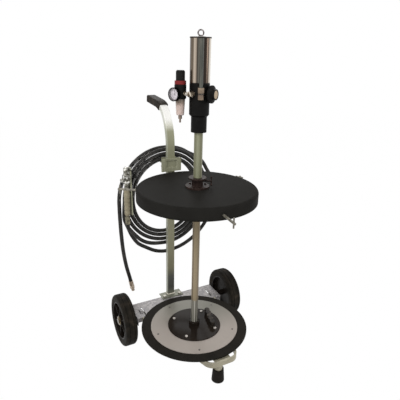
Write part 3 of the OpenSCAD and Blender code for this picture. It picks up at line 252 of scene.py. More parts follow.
# %% [markdown]
# The floor, the room and every finish are trees of nodes, so one helper adds a node and sets its values by name. The
# set is a pale floor in a pale room, as in the studio, and both show plain white to the camera and to reflections.
# The other helper tells those rays from the ones that light things. As a light the room is weaker than white, or
# every black would turn grey. The Standard view leaves the colours as they are written.

# %% The room
ROOM_LIGHT = 0.62


def node(tree, kind, **values):
    """Adds a node and sets its properties and inputs by name."""
    made = tree.nodes.new(kind)
    for key, value in values.items():
        if hasattr(made, key):
            setattr(made, key, value)
        else:
            made.inputs[key.replace("_", " ")].default_value = value
    return made


def seen_directly(tree):
    """1 for rays from the camera, a mirror or through glass, 0 for the light that falls on things."""
    path = node(tree, "ShaderNodeLightPath")
    total = path.outputs["Is Camera Ray"]
    for name in ("Is Glossy Ray", "Is Transmission Ray"):
        add = node(tree, "ShaderNodeMath", operation="MAXIMUM")
        tree.links.new(total, add.inputs[0])
        tree.links.new(path.outputs[name], add.inputs[1])
        total = add.outputs[0]
    return total


scene = bpy.context.scene
scene.view_settings.view_transform = "Standard"
world = bpy.data.worlds.new("room")
world.use_nodes = True
scene.world = world
tree = world.node_tree
background = tree.nodes["Background"]
background.inputs["Color"].default_value = (1, 1, 1, 1)
strength = node(tree, "ShaderNodeMapRange")
strength.inputs["To Min"].default_value = ROOM_LIGHT
strength.inputs["To Max"].default_value = 1.0
tree.links.new(seen_directly(tree), strength.inputs["Value"])
tree.links.new(strength.outputs["Result"], background.inputs["Strength"])
print("room: strength", ROOM_LIGHT, "as a light")

# %% [markdown]
# A grid of one face is enough of a floor. Its paint takes the trolley's shadow. Mixing the paint with a plain glow,
# again by what kind of ray looks at it, keeps the page white and leaves the shadow only faintly there.

# %% The floor
FLOOR_SIZE = 6.0
FLOOR_GREY = 0.86
FLOOR_ROUGH = 0.9
FLOOR_GLOW = 0.996


def finished(name, mesh, body=None):
    """Turns a bmesh into an object in the scene, riding on a body."""
    data = bpy.data.meshes.new(name)
    bmesh.ops.recalc_face_normals(mesh, faces=mesh.faces)
    mesh.to_mesh(data)
    mesh.free()
    piece = bpy.data.objects.new(name, data)
    bpy.context.scene.collection.objects.link(piece)
    if body:
        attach(piece, body)
    return piece


floor_mesh = bmesh.new()
bmesh.ops.create_grid(floor_mesh, x_segments=1, y_segments=1, size=FLOOR_SIZE)
floor = finished("floor", floor_mesh)
paint = bpy.data.materials.new("floor_paint")
paint.use_nodes = True
tree = paint.node_tree
tree.nodes["Principled BSDF"].inputs["Base Color"].default_value = (FLOOR_GREY, FLOOR_GREY, FLOOR_GREY, 1)
tree.nodes["Principled BSDF"].inputs["Roughness"].default_value = FLOOR_ROUGH
glow = node(tree, "ShaderNodeEmission", Strength=1.0)
mix = node(tree, "ShaderNodeMixShader")
share = node(tree, "ShaderNodeMath", operation="MULTIPLY")
share.inputs[1].default_value = FLOOR_GLOW
tree.links.new(seen_directly(tree), share.inputs[0])
tree.links.new(share.outputs[0], mix.inputs["Fac"])
tree.links.new(tree.nodes["Principled BSDF"].outputs[0], mix.inputs[1])
tree.links.new(glow.outputs[0], mix.inputs[2])
tree.links.new(mix.outputs[0], tree.nodes["Material Output"].inputs["Surface"])
floor.data.materials.append(paint)
print("floor:", [round(v, 2) for v in floor.dimensions], "m")

# %% [markdown]
# Three round lamps stand for the studio's soft boxes: a key lamp before the trolley on the left, a fill on the right
# and a rim lamp behind it.

# %% Lamps
LAMP_AIM = (0, 0, 0.6)


def lamp(name, at, size, power):
    """A round lamp of this diameter in metres and this power in watts, aimed at the trolley's middle."""
    data = bpy.data.lights.new(name, "AREA")
    data.shape = "DISK"
    data.size = size
    data.energy = power
    piece = bpy.data.objects.new(name, data)
    piece.location = at
    aim = Vector(LAMP_AIM) - Vector(at)
    piece.rotation_euler = aim.to_track_quat("-Z", "Y").to_euler()
    scene.collection.objects.link(piece)


lamp("key_lamp", at=(-2.2, -1.6, 2.6), size=1.4, power=62)
lamp("fill_lamp", at=(2.4, -1.8, 1.8), size=2.0, power=22)
lamp("rim_lamp", at=(0.8, 2.4, 2.4), size=1.6, power=24)

# %% [markdown]
# Every finish is built from the same few steps: a pattern on Object coordinates, which are the frame's own
# metres, a ramp that turns the pattern into colours, and a fine relief. A bevel normal rounds the look of the
# machined edges without touching the mesh. Black pieces get a low specular level, because a room that is white
# all round would otherwise lift every black to grey.


# %% Colours and new finishes
def linear(colour):
    """The linear colour of a #rrggbb one."""
    parts = [int(colour[i : i + 2], 16) / 255 for i in (1, 3, 5)]
    return tuple(c / 12.92 if c <= 0.04045 else ((c + 0.055) / 1.055) ** 2.4 for c in parts) + (1.0,)


def finish(name, rough, metal=0.0, specular=0.5):
    """A new material with its shader's plain values set."""
    material = bpy.data.materials.new(name)
    material.use_nodes = True
    shader = material.node_tree.nodes["Principled BSDF"]
    shader.inputs["Roughness"].default_value = rough
    shader.inputs["Metallic"].default_value = metal
    shader.inputs["Specular IOR Level"].default_value = specular
    return material


print("#808080 is", round(linear("#808080")[0], 3), "of white in linear light")

# %% [markdown]
# A shader's pattern is a chain of small nodes: coordinates, a texture and a ramp. These helpers each build one link
# of the chain and hand on its output socket, so a finish can be read from left to right.


# %% Patterns and ramps
def pattern(tree, scale, detail=4.0, stretch=(1, 1, 1)):
    """A noise with this many features to the metre. A stretch below 1 draws them out along its axis."""
    place = node(tree, "ShaderNodeTexCoord")
    mapping = node(tree, "ShaderNodeMapping")
    mapping.inputs["Scale"].default_value = stretch
    texture = node(tree, "ShaderNodeTexNoise")
    texture.inputs["Scale"].default_value = scale
    texture.inputs["Detail"].default_value = detail
    tree.links.new(place.outputs["Object"], mapping.inputs["Vector"])
    tree.links.new(mapping.outputs["Vector"], texture.inputs["Vector"])
    return texture.outputs[0]


def ramp(tree, value, stops):
    """Colours by value: stops are (place, colour) pairs, with colours as #rrggbb."""
    made = node(tree, "ShaderNodeValToRGB")
    bar = made.color_ramp
    while len(bar.elements) < len(stops):
        bar.elements.new(0.5)
    for element, (place, colour) in zip(bar.elements, stops):
        element.position = place
        element.color = linear(colour)
    tree.links.new(value, made.inputs["Fac"])
    return made.outputs["Color"]


# %% [markdown]
# Many a look changes with height: a reflection near the floor, a bright top, a dark foot. Object coordinates are
# metres from the floor, so a height is one of them put to a scale from 0 to 1, and a mix lays one colour on another.


# %% Heights and mixes
def height(tree, low, high, axis="Z"):
    """0 at the height low and 1 at high, both in metres from the floor, or along another axis."""
    place = node(tree, "ShaderNodeTexCoord")
    split = node(tree, "ShaderNodeSeparateXYZ")
    span = node(tree, "ShaderNodeMapRange")
    span.inputs["From Min"].default_value = low
    span.inputs["From Max"].default_value = high
    tree.links.new(place.outputs["Object"], split.inputs["Vector"])
    tree.links.new(split.outputs[axis], span.inputs["Value"])
    return span.outputs["Result"]


def mixed(tree, share, a, b, kind="MIX"):
    """Two colours mixed by a share, each a socket or a #rrggbb colour."""
    made = node(tree, "ShaderNodeMix", data_type="RGBA", blend_type=kind)
    for name, value in (("Factor", share), ("A", a), ("B", b)):
        sockets = [s for s in made.inputs if s.name == name and s.enabled]
        if isinstance(value, str):
            sockets[0].default_value = linear(value)
        elif isinstance(value, (int, float)):
            sockets[0].default_value = value
        else:
            tree.links.new(value, sockets[0])
    return [s for s in made.outputs if s.enabled][0]


# %% [markdown]
# Relief, roughness and edges. Sharp edges of a handled machine lose their paint or plating first, and they also catch
# the light. Where a bevelled normal leaves the true one, the shader is on an edge, and a brighter colour is mixed in
# there, partly wear and partly a painted highlight. The cosine between the two normals tells it: the brightening starts
# just below 1, where they agree, and is full at 0.8.

# %% Relief, roughness, and worn and highlit edges
BUMP_STRENGTH = 0.5
WEAR_AND_HIGHLIGHT_STARTS, WEAR_AND_HIGHLIGHT_FULL = 0.99, 0.8


def rounded(tree, radius):
    """The normal of a surface whose edges are rounded by this radius."""
    soft = node(tree, "ShaderNodeBevel", samples=4)
    soft.inputs["Radius"].default_value = radius
    return soft.outputs[0]


def relief(tree, value, depth, edge=0.0006):
    """A fine relief, with the look of a rounded edge."""
    bump = node(tree, "ShaderNodeBump")
    bump.inputs["Strength"].default_value = BUMP_STRENGTH
    bump.inputs["Distance"].default_value = depth
    tree.links.new(value, bump.inputs["Height"])
    tree.links.new(rounded(tree, edge), bump.inputs["Normal"])
    tree.links.new(bump.outputs["Normal"], tree.nodes["Principled BSDF"].inputs["Normal"])


def rough_by(tree, value, low, high):
    """Roughness that follows a pattern."""
    spread = node(tree, "ShaderNodeMapRange")
    spread.inputs["To Min"].default_value = low
    spread.inputs["To Max"].default_value = high
    tree.links.new(value, spread.inputs["Value"])
    tree.links.new(spread.outputs["Result"], tree.nodes["Principled BSDF"].inputs["Roughness"])


# The brighter edge colour is partly wear and partly a painted highlight along the edges.
def worn_and_highlit_edges(tree, colour, bright, amount=0.6, radius=0.0012):
    """The colour, with a brighter one along the edges."""
    face = node(tree, "ShaderNodeNewGeometry")
    match = node(tree, "ShaderNodeVectorMath", operation="DOT_PRODUCT")
    tree.links.new(rounded(tree, radius), match.inputs[0])
    tree.links.new(face.outputs["Normal"], match.inputs[1])
    edge = node(tree, "ShaderNodeMapRange")
    edge.inputs["From Min"].default_value = WEAR_AND_HIGHLIGHT_STARTS
    edge.inputs["From Max"].default_value = WEAR_AND_HIGHLIGHT_FULL
    edge.inputs["To Max"].default_value = amount
    tree.links.new(match.outputs["Value"], edge.inputs["Value"])
    return mixed(tree, edge.outputs["Result"], colour, bright)


# %% [markdown]
# One helper joins these steps into a whole finish, which most of the pieces share with other numbers, and another
# gives a finish to pieces by their names.

# %% A whole finish
RELIEF_FINER = 14
LEVEL_SHARE = 0.85


def mottled(name, stops, scale, rough, depth=0.00008, metal=0.0, specular=0.5, stretch=(1, 1, 1),
            levels=None, wear_and_highlight=None, edge=0.0006):
    """A finish whose colour and roughness drift with one noise, over a much finer relief.

    scale is the noise's, rough the least and the greatest roughness, and depth the relief's in metres. levels are a
    low and a high height and a ramp of colours between them, which the noise then only tints."""
    material = finish(name, rough[0], metal, specular)
    tree = material.node_tree
    drift = pattern(tree, scale, stretch=stretch)
    colour = ramp(tree, drift, stops)
    if levels:
        low, high, heights = levels
        colour = mixed(tree, LEVEL_SHARE, colour, ramp(tree, height(tree, low, high), heights))
    # Brighter edges: partly wear, partly a painted highlight.
    if wear_and_highlight:
        colour = worn_and_highlit_edges(tree, colour, wear_and_highlight)
    tree.links.new(colour, tree.nodes["Principled BSDF"].inputs["Base Color"])
    rough_by(tree, drift, *rough)
    relief(tree, pattern(tree, scale * RELIEF_FINER, 2.0, stretch), depth, edge)
    return material


def dress(material, *names):
    """Gives pieces of the frame a material."""
    for name in names:
        for slot in nodes[name].material_slots:
            slot.material = material


print("pieces to dress:", len(nodes))

# %% [markdown]
# The post is zinc-plated with a yellow-green passivation, a satin metal with faint streaks along the tube. Its colour
# by height holds painted reflections of what stands round it: the bright room as a painted highlight in its bent top,
# the olive of the coating along its middle and the black follower plate as painted shade near its foot. Its left side
# gets a painted reflection of the bright side of the room: a normal that points to -X brings in a paler colour.

# %% The post's zinc
POST_FOOT, POST_TOP = 0.117, 0.95
SIDE_STARTS, SIDE_FULL, SIDE_SHARE = -0.5, -0.95, 0.55
zinc_stops = ((0.3, "#77775f"), (0.52, "#8c8c74"), (0.75, "#a2a28c"))
# Painted reflections by height: painted shade of the black follower near the foot, a painted highlight at the bent top.
post_reflection_levels = (
    (0.0, "#6c6d62"), (0.04, "#3d3e40"), (0.1, "#47484a"), (0.15, "#77735e"), (0.45, "#85836a"), (0.72, "#88886e"),
    (0.835, "#8f8f76"), (0.86, "#d5d4c8"), (0.885, "#f6f5f2"), (1.0, "#f9f8f6"),
)
post_zinc = mottled("post_zinc", zinc_stops, 34, (0.34, 0.5), metal=0.2, specular=0.35, stretch=(1, 1, 0.12),
                    levels=(POST_FOOT, POST_TOP, post_reflection_levels))
tree = post_zinc.node_tree
shader = tree.nodes["Principled BSDF"]
front_colour = shader.inputs["Base Color"].links[0].from_socket
# A paler colour on faces turned to -X: a painted reflection of the bright side of the room.
face = node(tree, "ShaderNodeNewGeometry")
split = node(tree, "ShaderNodeSeparateXYZ")
left = node(tree, "ShaderNodeMapRange")
left.inputs["From Min"].default_value = SIDE_STARTS
left.inputs["From Max"].default_value = SIDE_FULL
left.inputs["To Max"].default_value = SIDE_SHARE
tree.links.new(face.outputs["Normal"], split.inputs["Vector"])
tree.links.new(split.outputs["X"], left.inputs["Value"])
tree.links.new(mixed(tree, left.outputs["Result"], front_colour, "#b3b5a6"), shader.inputs["Base Color"])
dress(post_zinc, "post")
print("post:", len(post_reflection_levels), "colours by height")

# %% [markdown]
# The other plated pieces have the same satin zinc. Age and light make the frame warmer, the rim screws darker and
# the bolts shinier. The follower's screws have bright heads, which their height tells.

# %% Other zinc
HEAD_FOOT, HEAD_TOP = 0.119, 0.127
zinc = mottled("zinc", zinc_stops, 34, (0.38, 0.52), metal=0.2, specular=0.3, stretch=(1, 1, 0.2), wear_and_highlight="#d6d5c4")
dress(zinc, "hanger_strap", "hanger_hook", "gun_lever")
frame_stops = ((0.3, "#7f7a6b"), (0.55, "#99937f"), (0.8, "#b8b3a2"))
frame_zinc = mottled("frame_zinc", frame_stops, 26, (0.34, 0.5), metal=0.2, specular=0.3, wear_and_highlight="#cfccc0")
dress(frame_zinc, "base_frame")
bolt_stops = ((0.35, "#77736a"), (0.6, "#a5a195"))
bolt_zinc = mottled("bolt_zinc", bolt_stops, 120, (0.3, 0.4), metal=0.4, wear_and_highlight="#e2e0d4")
dress(bolt_zinc, "trolley_bolts", "regulator_screw")
rim_stops = ((0.35, "#59554b"), (0.6, "#7d796e"))
rim_zinc = mottled("rim_zinc", rim_stops, 120, (0.35, 0.45), metal=0.3, specular=0.3, wear_and_highlight="#a8a598")
dress(rim_zinc, "rim_screw_front", "rim_screw_right", "rim_screw_left")
screw_stops = ((0.35, "#4a4540"), (0.6, "#8d8781"))
screw_levels = ((0.0, "#4a4540"), (0.2, "#4a4540"), (0.4, "#a8a29b"), (1.0, "#cbc4bc"))
head_levels = (HEAD_FOOT, HEAD_TOP, screw_levels)
follower_bolt = mottled("follower_bolt", screw_stops, 150, (0.35, 0.45), metal=0.2, levels=head_levels)
dress(follower_bolt, "follower_screws")
print("materials in the file:", len(bpy.data.materials))

# %% [markdown]
# The axle plate is hot-dip galvanised. Its zinc has frozen in flat crystals, so a cell pattern gives each crystal
# its own grey.

# %% Galvanised plate
CRYSTALS = 130
galvanised = finish("galvanised", rough=0.42, metal=0.2, specular=0.35)
tree = galvanised.node_tree
cells = node(tree, "ShaderNodeTexVoronoi")
cells.inputs["Scale"].default_value = CRYSTALS
place = node(tree, "ShaderNodeTexCoord")
tree.links.new(place.outputs["Object"], cells.inputs["Vector"])
grey = node(tree, "ShaderNodeSeparateColor")
tree.links.new(cells.outputs["Color"], grey.inputs["Color"])
stops = ((0.1, "#716e70"), (0.5, "#85817f"), (0.9, "#9c9897"))
spangle = ramp(tree, grey.outputs[0], stops)
# Brighter edges on the plate: partly wear, partly a painted highlight.
tree.links.new(worn_and_highlit_edges(tree, spangle, "#d8d5d8", amount=0.5), tree.nodes["Principled BSDF"].inputs["Base Color"])
rough_by(tree, grey.outputs[0], low=0.34, high=0.5)
relief(tree, grey.outputs[0], depth=0.00006)
dress(galvanised, "axle_plate")
print("galvanised plate: crystals of about", round(1000 / CRYSTALS, 1), "mm")

# %% [markdown]
# The cylinder is polished chrome. In the photograph the studio's dark and light panels stand in it as upright
# bands, which are painted here as reflections in its colour. A radial gradient round the pump's axis gives the angle,
# and a ramp lays the bands at their places. The tube, the sleeve and the follower's ring get painted reflections and
# shade the same way, in weaker bands.

# %% Bands of painted reflection round an axis
LINES_FADE = 0.004
GRIND_SCALE, GRIND_STRETCH, GRIND_DEPTH = 900, (1, 1, 0.02), 0.00002


# The bands are painted reflections and painted shade, laid round an axis.
def reflection_banded(name, centre, stops, rough, metal, specular=0.5, levels=None, foot=None):
    """A finish with upright bands round an axis. Its stops are shares of a turn, from the -X side round by -Y.

    levels are as in mottled, and foot is a height and the bands below it, where they differ."""
    material = finish(name, rough, metal, specular)
    tree = material.node_tree
    place = node(tree, "ShaderNodeTexCoord")
    mapping = node(tree, "ShaderNodeMapping", vector_type="POINT")
    mapping.inputs["Location"].default_value = (-centre[0], -centre[1], 0)
    radial = node(tree, "ShaderNodeTexGradient", gradient_type="RADIAL")
    tree.links.new(place.outputs["Object"], mapping.inputs["Vector"])
    tree.links.new(mapping.outputs["Vector"], radial.inputs["Vector"])
    colour = ramp(tree, radial.outputs["Fac"], stops)
    if foot:
        top, lines = foot
        colour = mixed(tree, height(tree, top - LINES_FADE, top), ramp(tree, radial.outputs["Fac"], lines), colour)
    if levels:
        low, high, heights = levels
        colour = mixed(tree, 1.0, colour, ramp(tree, height(tree, low, high), heights), "MULTIPLY")
    tree.links.new(colour, tree.nodes["Principled BSDF"].inputs["Base Color"])
    relief(tree, pattern(tree, GRIND_SCALE, 2.0, GRIND_STRETCH), GRIND_DEPTH)
    return material


print("bands go round the axis at", [round(v, 4) for v in PUMP.xy])

# %% [markdown]
# The cylinder's painted reflection bands follow the photograph in order and width, and the hidden back goes on in the
# same manner. Its lowest part is darker, a painted reflection of the black body that stands in it.

# %% The cylinder
# Painted reflections of the studio's dark and light panels.
chrome_reflection_bands = (
    (0.0, "#615547"), (0.055, "#665a4c"), (0.075, "#bbae9f"), (0.105, "#a29485"), (0.125, "#2f2721"),
    (0.145, "#5d5c55"), (0.205, "#6b5d53"), (0.225, "#2b221d"), (0.27, "#31271f"), (0.285, "#6f5f52"),
    (0.31, "#43372d"), (0.335, "#d3c9bc"), (0.42, "#e4dcd1"), (0.5, "#5b4e43"), (0.6, "#b9ada0"),
    (0.7, "#382e27"), (0.8, "#cfc4b7"), (0.9, "#4a4037"),
)
# A darker foot: a painted reflection of the black body.
body_reflection_levels = ((0.0, "#2a2623"), (0.02, "#2a2623"), (0.035, "#ffffff"), (1.0, "#ffffff"))
cylinder_levels = (cylinder_low.z, cylinder_high.z, body_reflection_levels)
dress(reflection_banded("cylinder_chrome", PUMP, chrome_reflection_bands, 0.16, 0.75, levels=cylinder_levels), "motor_cylinder")
print("cylinder:", len(chrome_reflection_bands), "bands over", round(cylinder_high.z - cylinder_low.z, 4), "m")

# %% [markdown]
# The pump tube is bare steel with a brown cast and painted reflections in bands, which turn into sharp grey lines of
# painted reflection at its foot. The sleeve round its upper half is zinc-plated, and the follower's ring is dull steel,
# both with weaker bands of painted reflection and shade.

# %% Tube, sleeve and ring
TUBE_FOOT, TUBE_TOP = 0.1, 0.56
LINES_TOP = 0.232
# Painted reflections in bands round the tube.
tube_reflection_bands = (
    (0.0, "#746753"), (0.06, "#685c49"), (0.1, "#8f8168"), (0.17, "#8c7f66"), (0.24, "#877961"),
    (0.3, "#6f624e"), (0.42, "#a3957d"), (0.6, "#85775f"), (0.8, "#9b8c73"),
)
tube_levels = ((0.0, "#f4f5f5"), (0.45, "#ffffff"), (1.0, "#ebe8e0"))
# Sharper lines of painted reflection at the tube's foot.
foot_reflection_lines = (
    (0.0, "#6d6a60"), (0.05, "#4c4a43"), (0.08, "#a19e93"), (0.12, "#5d5b53"), (0.15, "#8b887d"), (0.18, "#bdbab0"),
    (0.21, "#716e64"), (0.25, "#48463f"), (0.29, "#97948a"), (0.34, "#625f56"), (0.6, "#8f8c82"),
)
tube_steel = reflection_banded("tube_steel", PUMP, tube_reflection_bands, 0.34, 0.15, 0.35, levels=(TUBE_FOOT, TUBE_TOP, tube_levels),
                    foot=(LINES_TOP, foot_reflection_lines))
dress(tube_steel, "pump_tube")
# Weaker bands of painted reflection on the sleeve.
sleeve_reflection_bands = (
    (0.0, "#6b6b53"), (0.08, "#77775f"), (0.14, "#8c8d75"), (0.2, "#85866d"), (0.28, "#6d6c55"),
    (0.36, "#8f8f77"), (0.5, "#7b7b63"), (0.8, "#8b8b73"),
)
dress(reflection_banded("sleeve_zinc", PUMP, sleeve_reflection_bands, 0.4, 0.15, 0.3), "sleeve_tube")
# Bands of painted reflection and painted shade on the ring.
ring_reflection_bands = (
    (0.0, "#958c84"), (0.18, "#9c938b"), (0.4, "#978e86"), (0.52, "#7c776e"), (0.6, "#6f6d63"),
    (0.78, "#6f6d63"), (0.9, "#857e75"), (1.0, "#958c84"),
)
dress(reflection_banded("ring_steel", PUMP, ring_reflection_bands, 0.42, 0.1, 0.35), "follower_ring")
print("tube: sharp lines up to", LINES_TOP, "m")

# %% [markdown]
# Black parts: cast and painted metal and moulded plastic differ mostly in how they shine, so each has its own
# roughness and relief. The cover's edge is soft, so its look is rounded by 12 mm.

# %% Black metal and plastic
body_stops = ((0.3, "#0e0d0c"), (0.7, "#141312"))
body_black = mottled("body_black", body_stops, 60, (0.4, 0.55), 0.0001, specular=0.06, wear_and_highlight="#2f2d2b")
dress(body_black, "motor_body", "pump_neck", "silencer_housing")
cover_stops = ((0.3, "#1e1d1b"), (0.7, "#232220"))
cover_black = mottled("cover_black", cover_stops, 18, (0.5, 0.6), 0.00005, specular=0.012, edge=0.012)
dress(cover_black, "cover_disc")
plastic_stops = ((0.3, "#121211"), (0.7, "#1a1917"))
plastic_black = mottled("plastic_black", plastic_stops, 80, (0.35, 0.48), 0.00005, specular=0.06, wear_and_highlight="#454442")
dress(plastic_black, "regulator_body", "regulator_knob")
gauge_black = mottled("gauge_black", ((0.3, "#050505"), (0.7, "#080808")), 80, (0.5, 0.6), 0.00005, specular=0.01)
dress(gauge_black, "gauge_case")
hub_stops = ((0.3, "#110e0b"), (0.7, "#1c1713"))
hub_black = mottled("hub_black", hub_stops, 80, (0.35, 0.48), 0.00005, specular=0.12, wear_and_highlight="#3b342d")
dress(hub_black, "hub_left", "hub_right")
gloss_black = mottled("gloss_black", ((0.3, "#1d1814"), (0.7, "#27211c")), 9, (0.12, 0.2), 0.00001, specular=0.035)
dress(gloss_black, "follower_dome")
handle_stops = ((0.35, "#15120f"), (0.55, "#2a2520"), (0.7, "#4a433b"))
handle_black = mottled("handle_black", handle_stops, 70, (0.35, 0.5), 0.0005, specular=0.12)
dress(handle_black, "follower_handle")
collar_stops = ((0.3, "#1c1412"), (0.6, "#2e2320"), (0.8, "#4a3c37"))
collar_steel = mottled("collar_steel", collar_stops, 90, (0.4, 0.55), specular=0.08, wear_and_highlight="#6b5c55")
dress(collar_steel, "cover_collar", "collar_bolts", "clamp_screw")
print("materials in the file:", len(bpy.data.materials))

# %% [markdown]
# Rubber is matt. The tyres are brown with dust from the floor, the wiper is even and the grip is grained along its
# length.

# %% Rubber
tyre_stops = ((0.3, "#13110d"), (0.5, "#1c1914"), (0.62, "#27221c"), (0.75, "#362f27"))
tyre_rubber = mottled("tyre_rubber", tyre_stops, 42, (0.6, 0.75), 0.0002, specular=0.08)
dress(tyre_rubber, "tyre_left", "tyre_right")
wiper_rubber = mottled("wiper_rubber", ((0.3, "#191713"), (0.7, "#211e1a")), 30, (0.6, 0.7), 0.0001, specular=0.06)
dress(wiper_rubber, "follower_wiper", "rubber_foot", "piston_seal")
grip_stops = ((0.3, "#191512"), (0.5, "#241f1a"), (0.65, "#37302a"), (0.8, "#554c44"))
grip_rubber = mottled("grip_rubber", grip_stops, 120, (0.55, 0.7), 0.0006, specular=0.08, stretch=(1, 0.25, 0.25))
dress(grip_rubber, "post_grip")
print("materials in the file:", len(bpy.data.materials))

# %% [markdown]
# Bright caps. The axle's caps and the eye bolt mirror the room in spots, painted as strong stops of their noise. The
# top cap is dark at its rim and light on top, a painted highlight on its top face, placed by its height. The
# transfer tube is dull and streaked.

# %% Bright caps and the transfer tube
cap_stops = ((0.3, "#3c3325"), (0.5, "#625640"), (0.7, "#b3a488"))
dress(mottled("bright_cap", cap_stops, 60, (0.14, 0.24), metal=0.6), "axle_caps")
eye_stops = ((0.3, "#3f3a38"), (0.5, "#77706f"), (0.7, "#b0a9a7"))
dress(mottled("bright_eye", eye_stops, 90, (0.14, 0.24), metal=0.6), "eye_bolt")
cap_low, cap_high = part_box("top_cap")
# Light on top: a painted highlight on the cap's top face.
cap_highlight_levels = ((0.0, "#12100e"), (0.86, "#191613"), (0.95, "#d6d2cd"), (1.0, "#efece8"))
top_stops = ((0.3, "#2c2823"), (0.7, "#4d4841"))
cap_metal = mottled("cap_metal", top_stops, 40, (0.35, 0.5), specular=0.1, levels=(cap_low.z, cap_high.z, cap_highlight_levels))
dress(cap_metal, "top_cap")
transfer_stops = ((0.3, "#30322d"), (0.55, "#4a4b44"), (0.75, "#6b665b"))
dress(mottled("transfer_metal", transfer_stops, 60, (0.3, 0.4), metal=0.3, stretch=(1, 1, 0.2)), "transfer_tube")
print("top cap:", round(cap_high.z - cap_low.z, 4), "m thick")

# %% [markdown]
# Fittings. Nickelled brass shows broken dark and light spots, which are painted reflections of the room. The two nuts
# of the transfer tube are one piece, with painted shade where the gap between them is and a lighter upper end, a
# painted highlight. The silencer's disc is porous bronze, which is matt, with grains as small as sand.

# %% Brass, bronze and steel
# Painted reflections: dark and light spots of the room in the shiny brass.
brass_reflection_stops = ((0.38, "#2e251d"), (0.46, "#716250"), (0.54, "#b9ab97"), (0.62, "#fbf7ef"))
brass = mottled("nickelled_brass", brass_reflection_stops, 110, (0.2, 0.34), metal=0.45, wear_and_highlight="#efe7d8")
dress(brass, "inlet_elbow")
nut_stops = ((0.34, "#31271e"), (0.5, "#5d4e3f"), (0.6, "#7b6955"), (0.7, "#ac9c88"))
nut_low, nut_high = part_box("tube_nuts")
# Painted shade in the gap between the two nuts, and a painted highlight at their upper end.
nut_shade_and_highlight = (
    (0.0, "#7a6957"), (0.4, "#66564a"), (0.45, "#16110d"), (0.53, "#16110d"), (0.58, "#6d5d4c"), (1.0, "#8a7966"),
)
nut_brass = mottled("nut_brass", nut_stops, 110, (0.3, 0.45), metal=0.2, levels=(nut_low.z, nut_high.z, nut_shade_and_highlight))
dress(nut_brass, "tube_nuts")
fitting_stops = ((0.34, "#7a6b5a"), (0.5, "#b09f8a"), (0.6, "#c9b9a6"), (0.7, "#ece4d8"))
dress(mottled("fitting_brass", fitting_stops, 110, (0.25, 0.4), metal=0.3, wear_and_highlight="#e9e1d5"), "hose_fitting")
swivel_stops = ((0.34, "#403c2f"), (0.5, "#645f4c"), (0.66, "#918b74"))
dress(mottled("swivel_metal", swivel_stops, 90, (0.25, 0.4), metal=0.3, wear_and_highlight="#d9d3bd"), "gun_swivel")
disc_stops = ((0.3, "#a8967f"), (0.7, "#c4b299"))
dress(mottled("porous_bronze", disc_stops, 900, (0.7, 0.8), 0.0003, specular=0.1), "silencer_disc")
filter_stops = ((0.3, "#6f5836"), (0.7, "#8f7048"))
dress(mottled("filter_bronze", filter_stops, 900, (0.6, 0.7), 0.0003, specular=0.2), "filter_element")
turned = mottled("turned_steel", ((0.3, "#7d7b76"), (0.7, "#979590")), 200, (0.3, 0.4), metal=0.6)
dress(turned, "axle", "air_piston", "plunger_rod", "regulator_spring")
red_stops = ((0.3, "#6c2122"), (0.7, "#7b2a2a"))
dress(mottled("ring_red", red_stops, 50, (0.3, 0.4), 0.00003, specular=0.12), "regulator_ring")
drain_stops = ((0.3, "#54463c"), (0.7, "#8b7c70"))
dress(mottled("drain_brass", drain_stops, 200, (0.35, 0.5), metal=0.3, wear_and_highlight="#c9bfb4"), "drain_valve")
print("nuts:", round(nut_high.z - nut_low.z, 4), "m from end to end")

# %% [markdown]
# The gauge's dial is a white card. Its case throws a dark ring on the card's edge, so the colour turns dark between
# two distances from the dial's middle.

# %% The dial's card and its needle
RING_STARTS, RING_FULL = 0.86, 0.93
dial_low, dial_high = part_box("gauge_dial")
DIAL = (dial_low + dial_high) / 2
dial_white = mottled("dial_white", ((0.3, "#c3bcc2"), (0.7, "#cec8cd")), 60, (0.4, 0.5), 0.00001, specular=0.1)
tree = dial_white.node_tree
shader = tree.nodes["Principled BSDF"]
card = shader.inputs["Base Color"].links[0].from_socket
place = node(tree, "ShaderNodeTexCoord")
reach = node(tree, "ShaderNodeVectorMath", operation="DISTANCE")
reach.inputs[1].default_value = DIAL
rim = node(tree, "ShaderNodeMapRange")
rim.inputs["From Min"].default_value = (dial_high.z - dial_low.z) / 2 * RING_STARTS
rim.inputs["From Max"].default_value = (dial_high.z - dial_low.z) / 2 * RING_FULL
tree.links.new(place.outputs["Object"], reach.inputs[0])
tree.links.new(reach.outputs["Value"], rim.inputs["Value"])
tree.links.new(mixed(tree, rim.outputs["Result"], card, "#0f0e0e"), shader.inputs["Base Color"])
dress(dial_white, "gauge_dial")
dress(mottled("needle_black", ((0.3, "#1c1a1c"), (0.7, "#262426")), 200, (0.4, 0.5), 0.00001), "gauge_needle")
print("dial:", round(dial_high.z - dial_low.z, 4), "m across")

# %% [markdown]
# The gun has a painted grip, whose ribs come from a noise that is stretched across it, and a chromed valve body with
# the same broken spots of painted reflection as the other bright pieces.

# %% The gun
RIBS = (0.1, 0.1, 1)
gun_stops = ((0.3, "#6f6752"), (0.55, "#8c846e"), (0.75, "#aea78f"))
gun_paint = mottled("gun_grip_paint", gun_stops, 60, (0.35, 0.5), 0.0004, 0.1, 0.25, stretch=RIBS, wear_and_highlight="#c9c2ad")
dress(gun_paint, "gun_grip")
# Painted reflections of the room as broken dark and light spots on the chrome.
gun_reflection_stops = ((0.36, "#302e28"), (0.46, "#5f5d53"), (0.54, "#97958a"), (0.64, "#eeede7"))
dress(mottled("gun_chrome", gun_reflection_stops, 90, (0.14, 0.28), metal=0.5, wear_and_highlight="#f4f3ef"), "gun_body")
print("materials in the file:", len(bpy.data.materials))

# %% [markdown]
# Clear pieces: the filter bowl is pinkish polycarbonate, browner at its top where the bronze element stands
# behind it, and the gauge has a flat window. A thin clear wall is mostly transparent, so the shader has little
# body colour and lets the rest through.

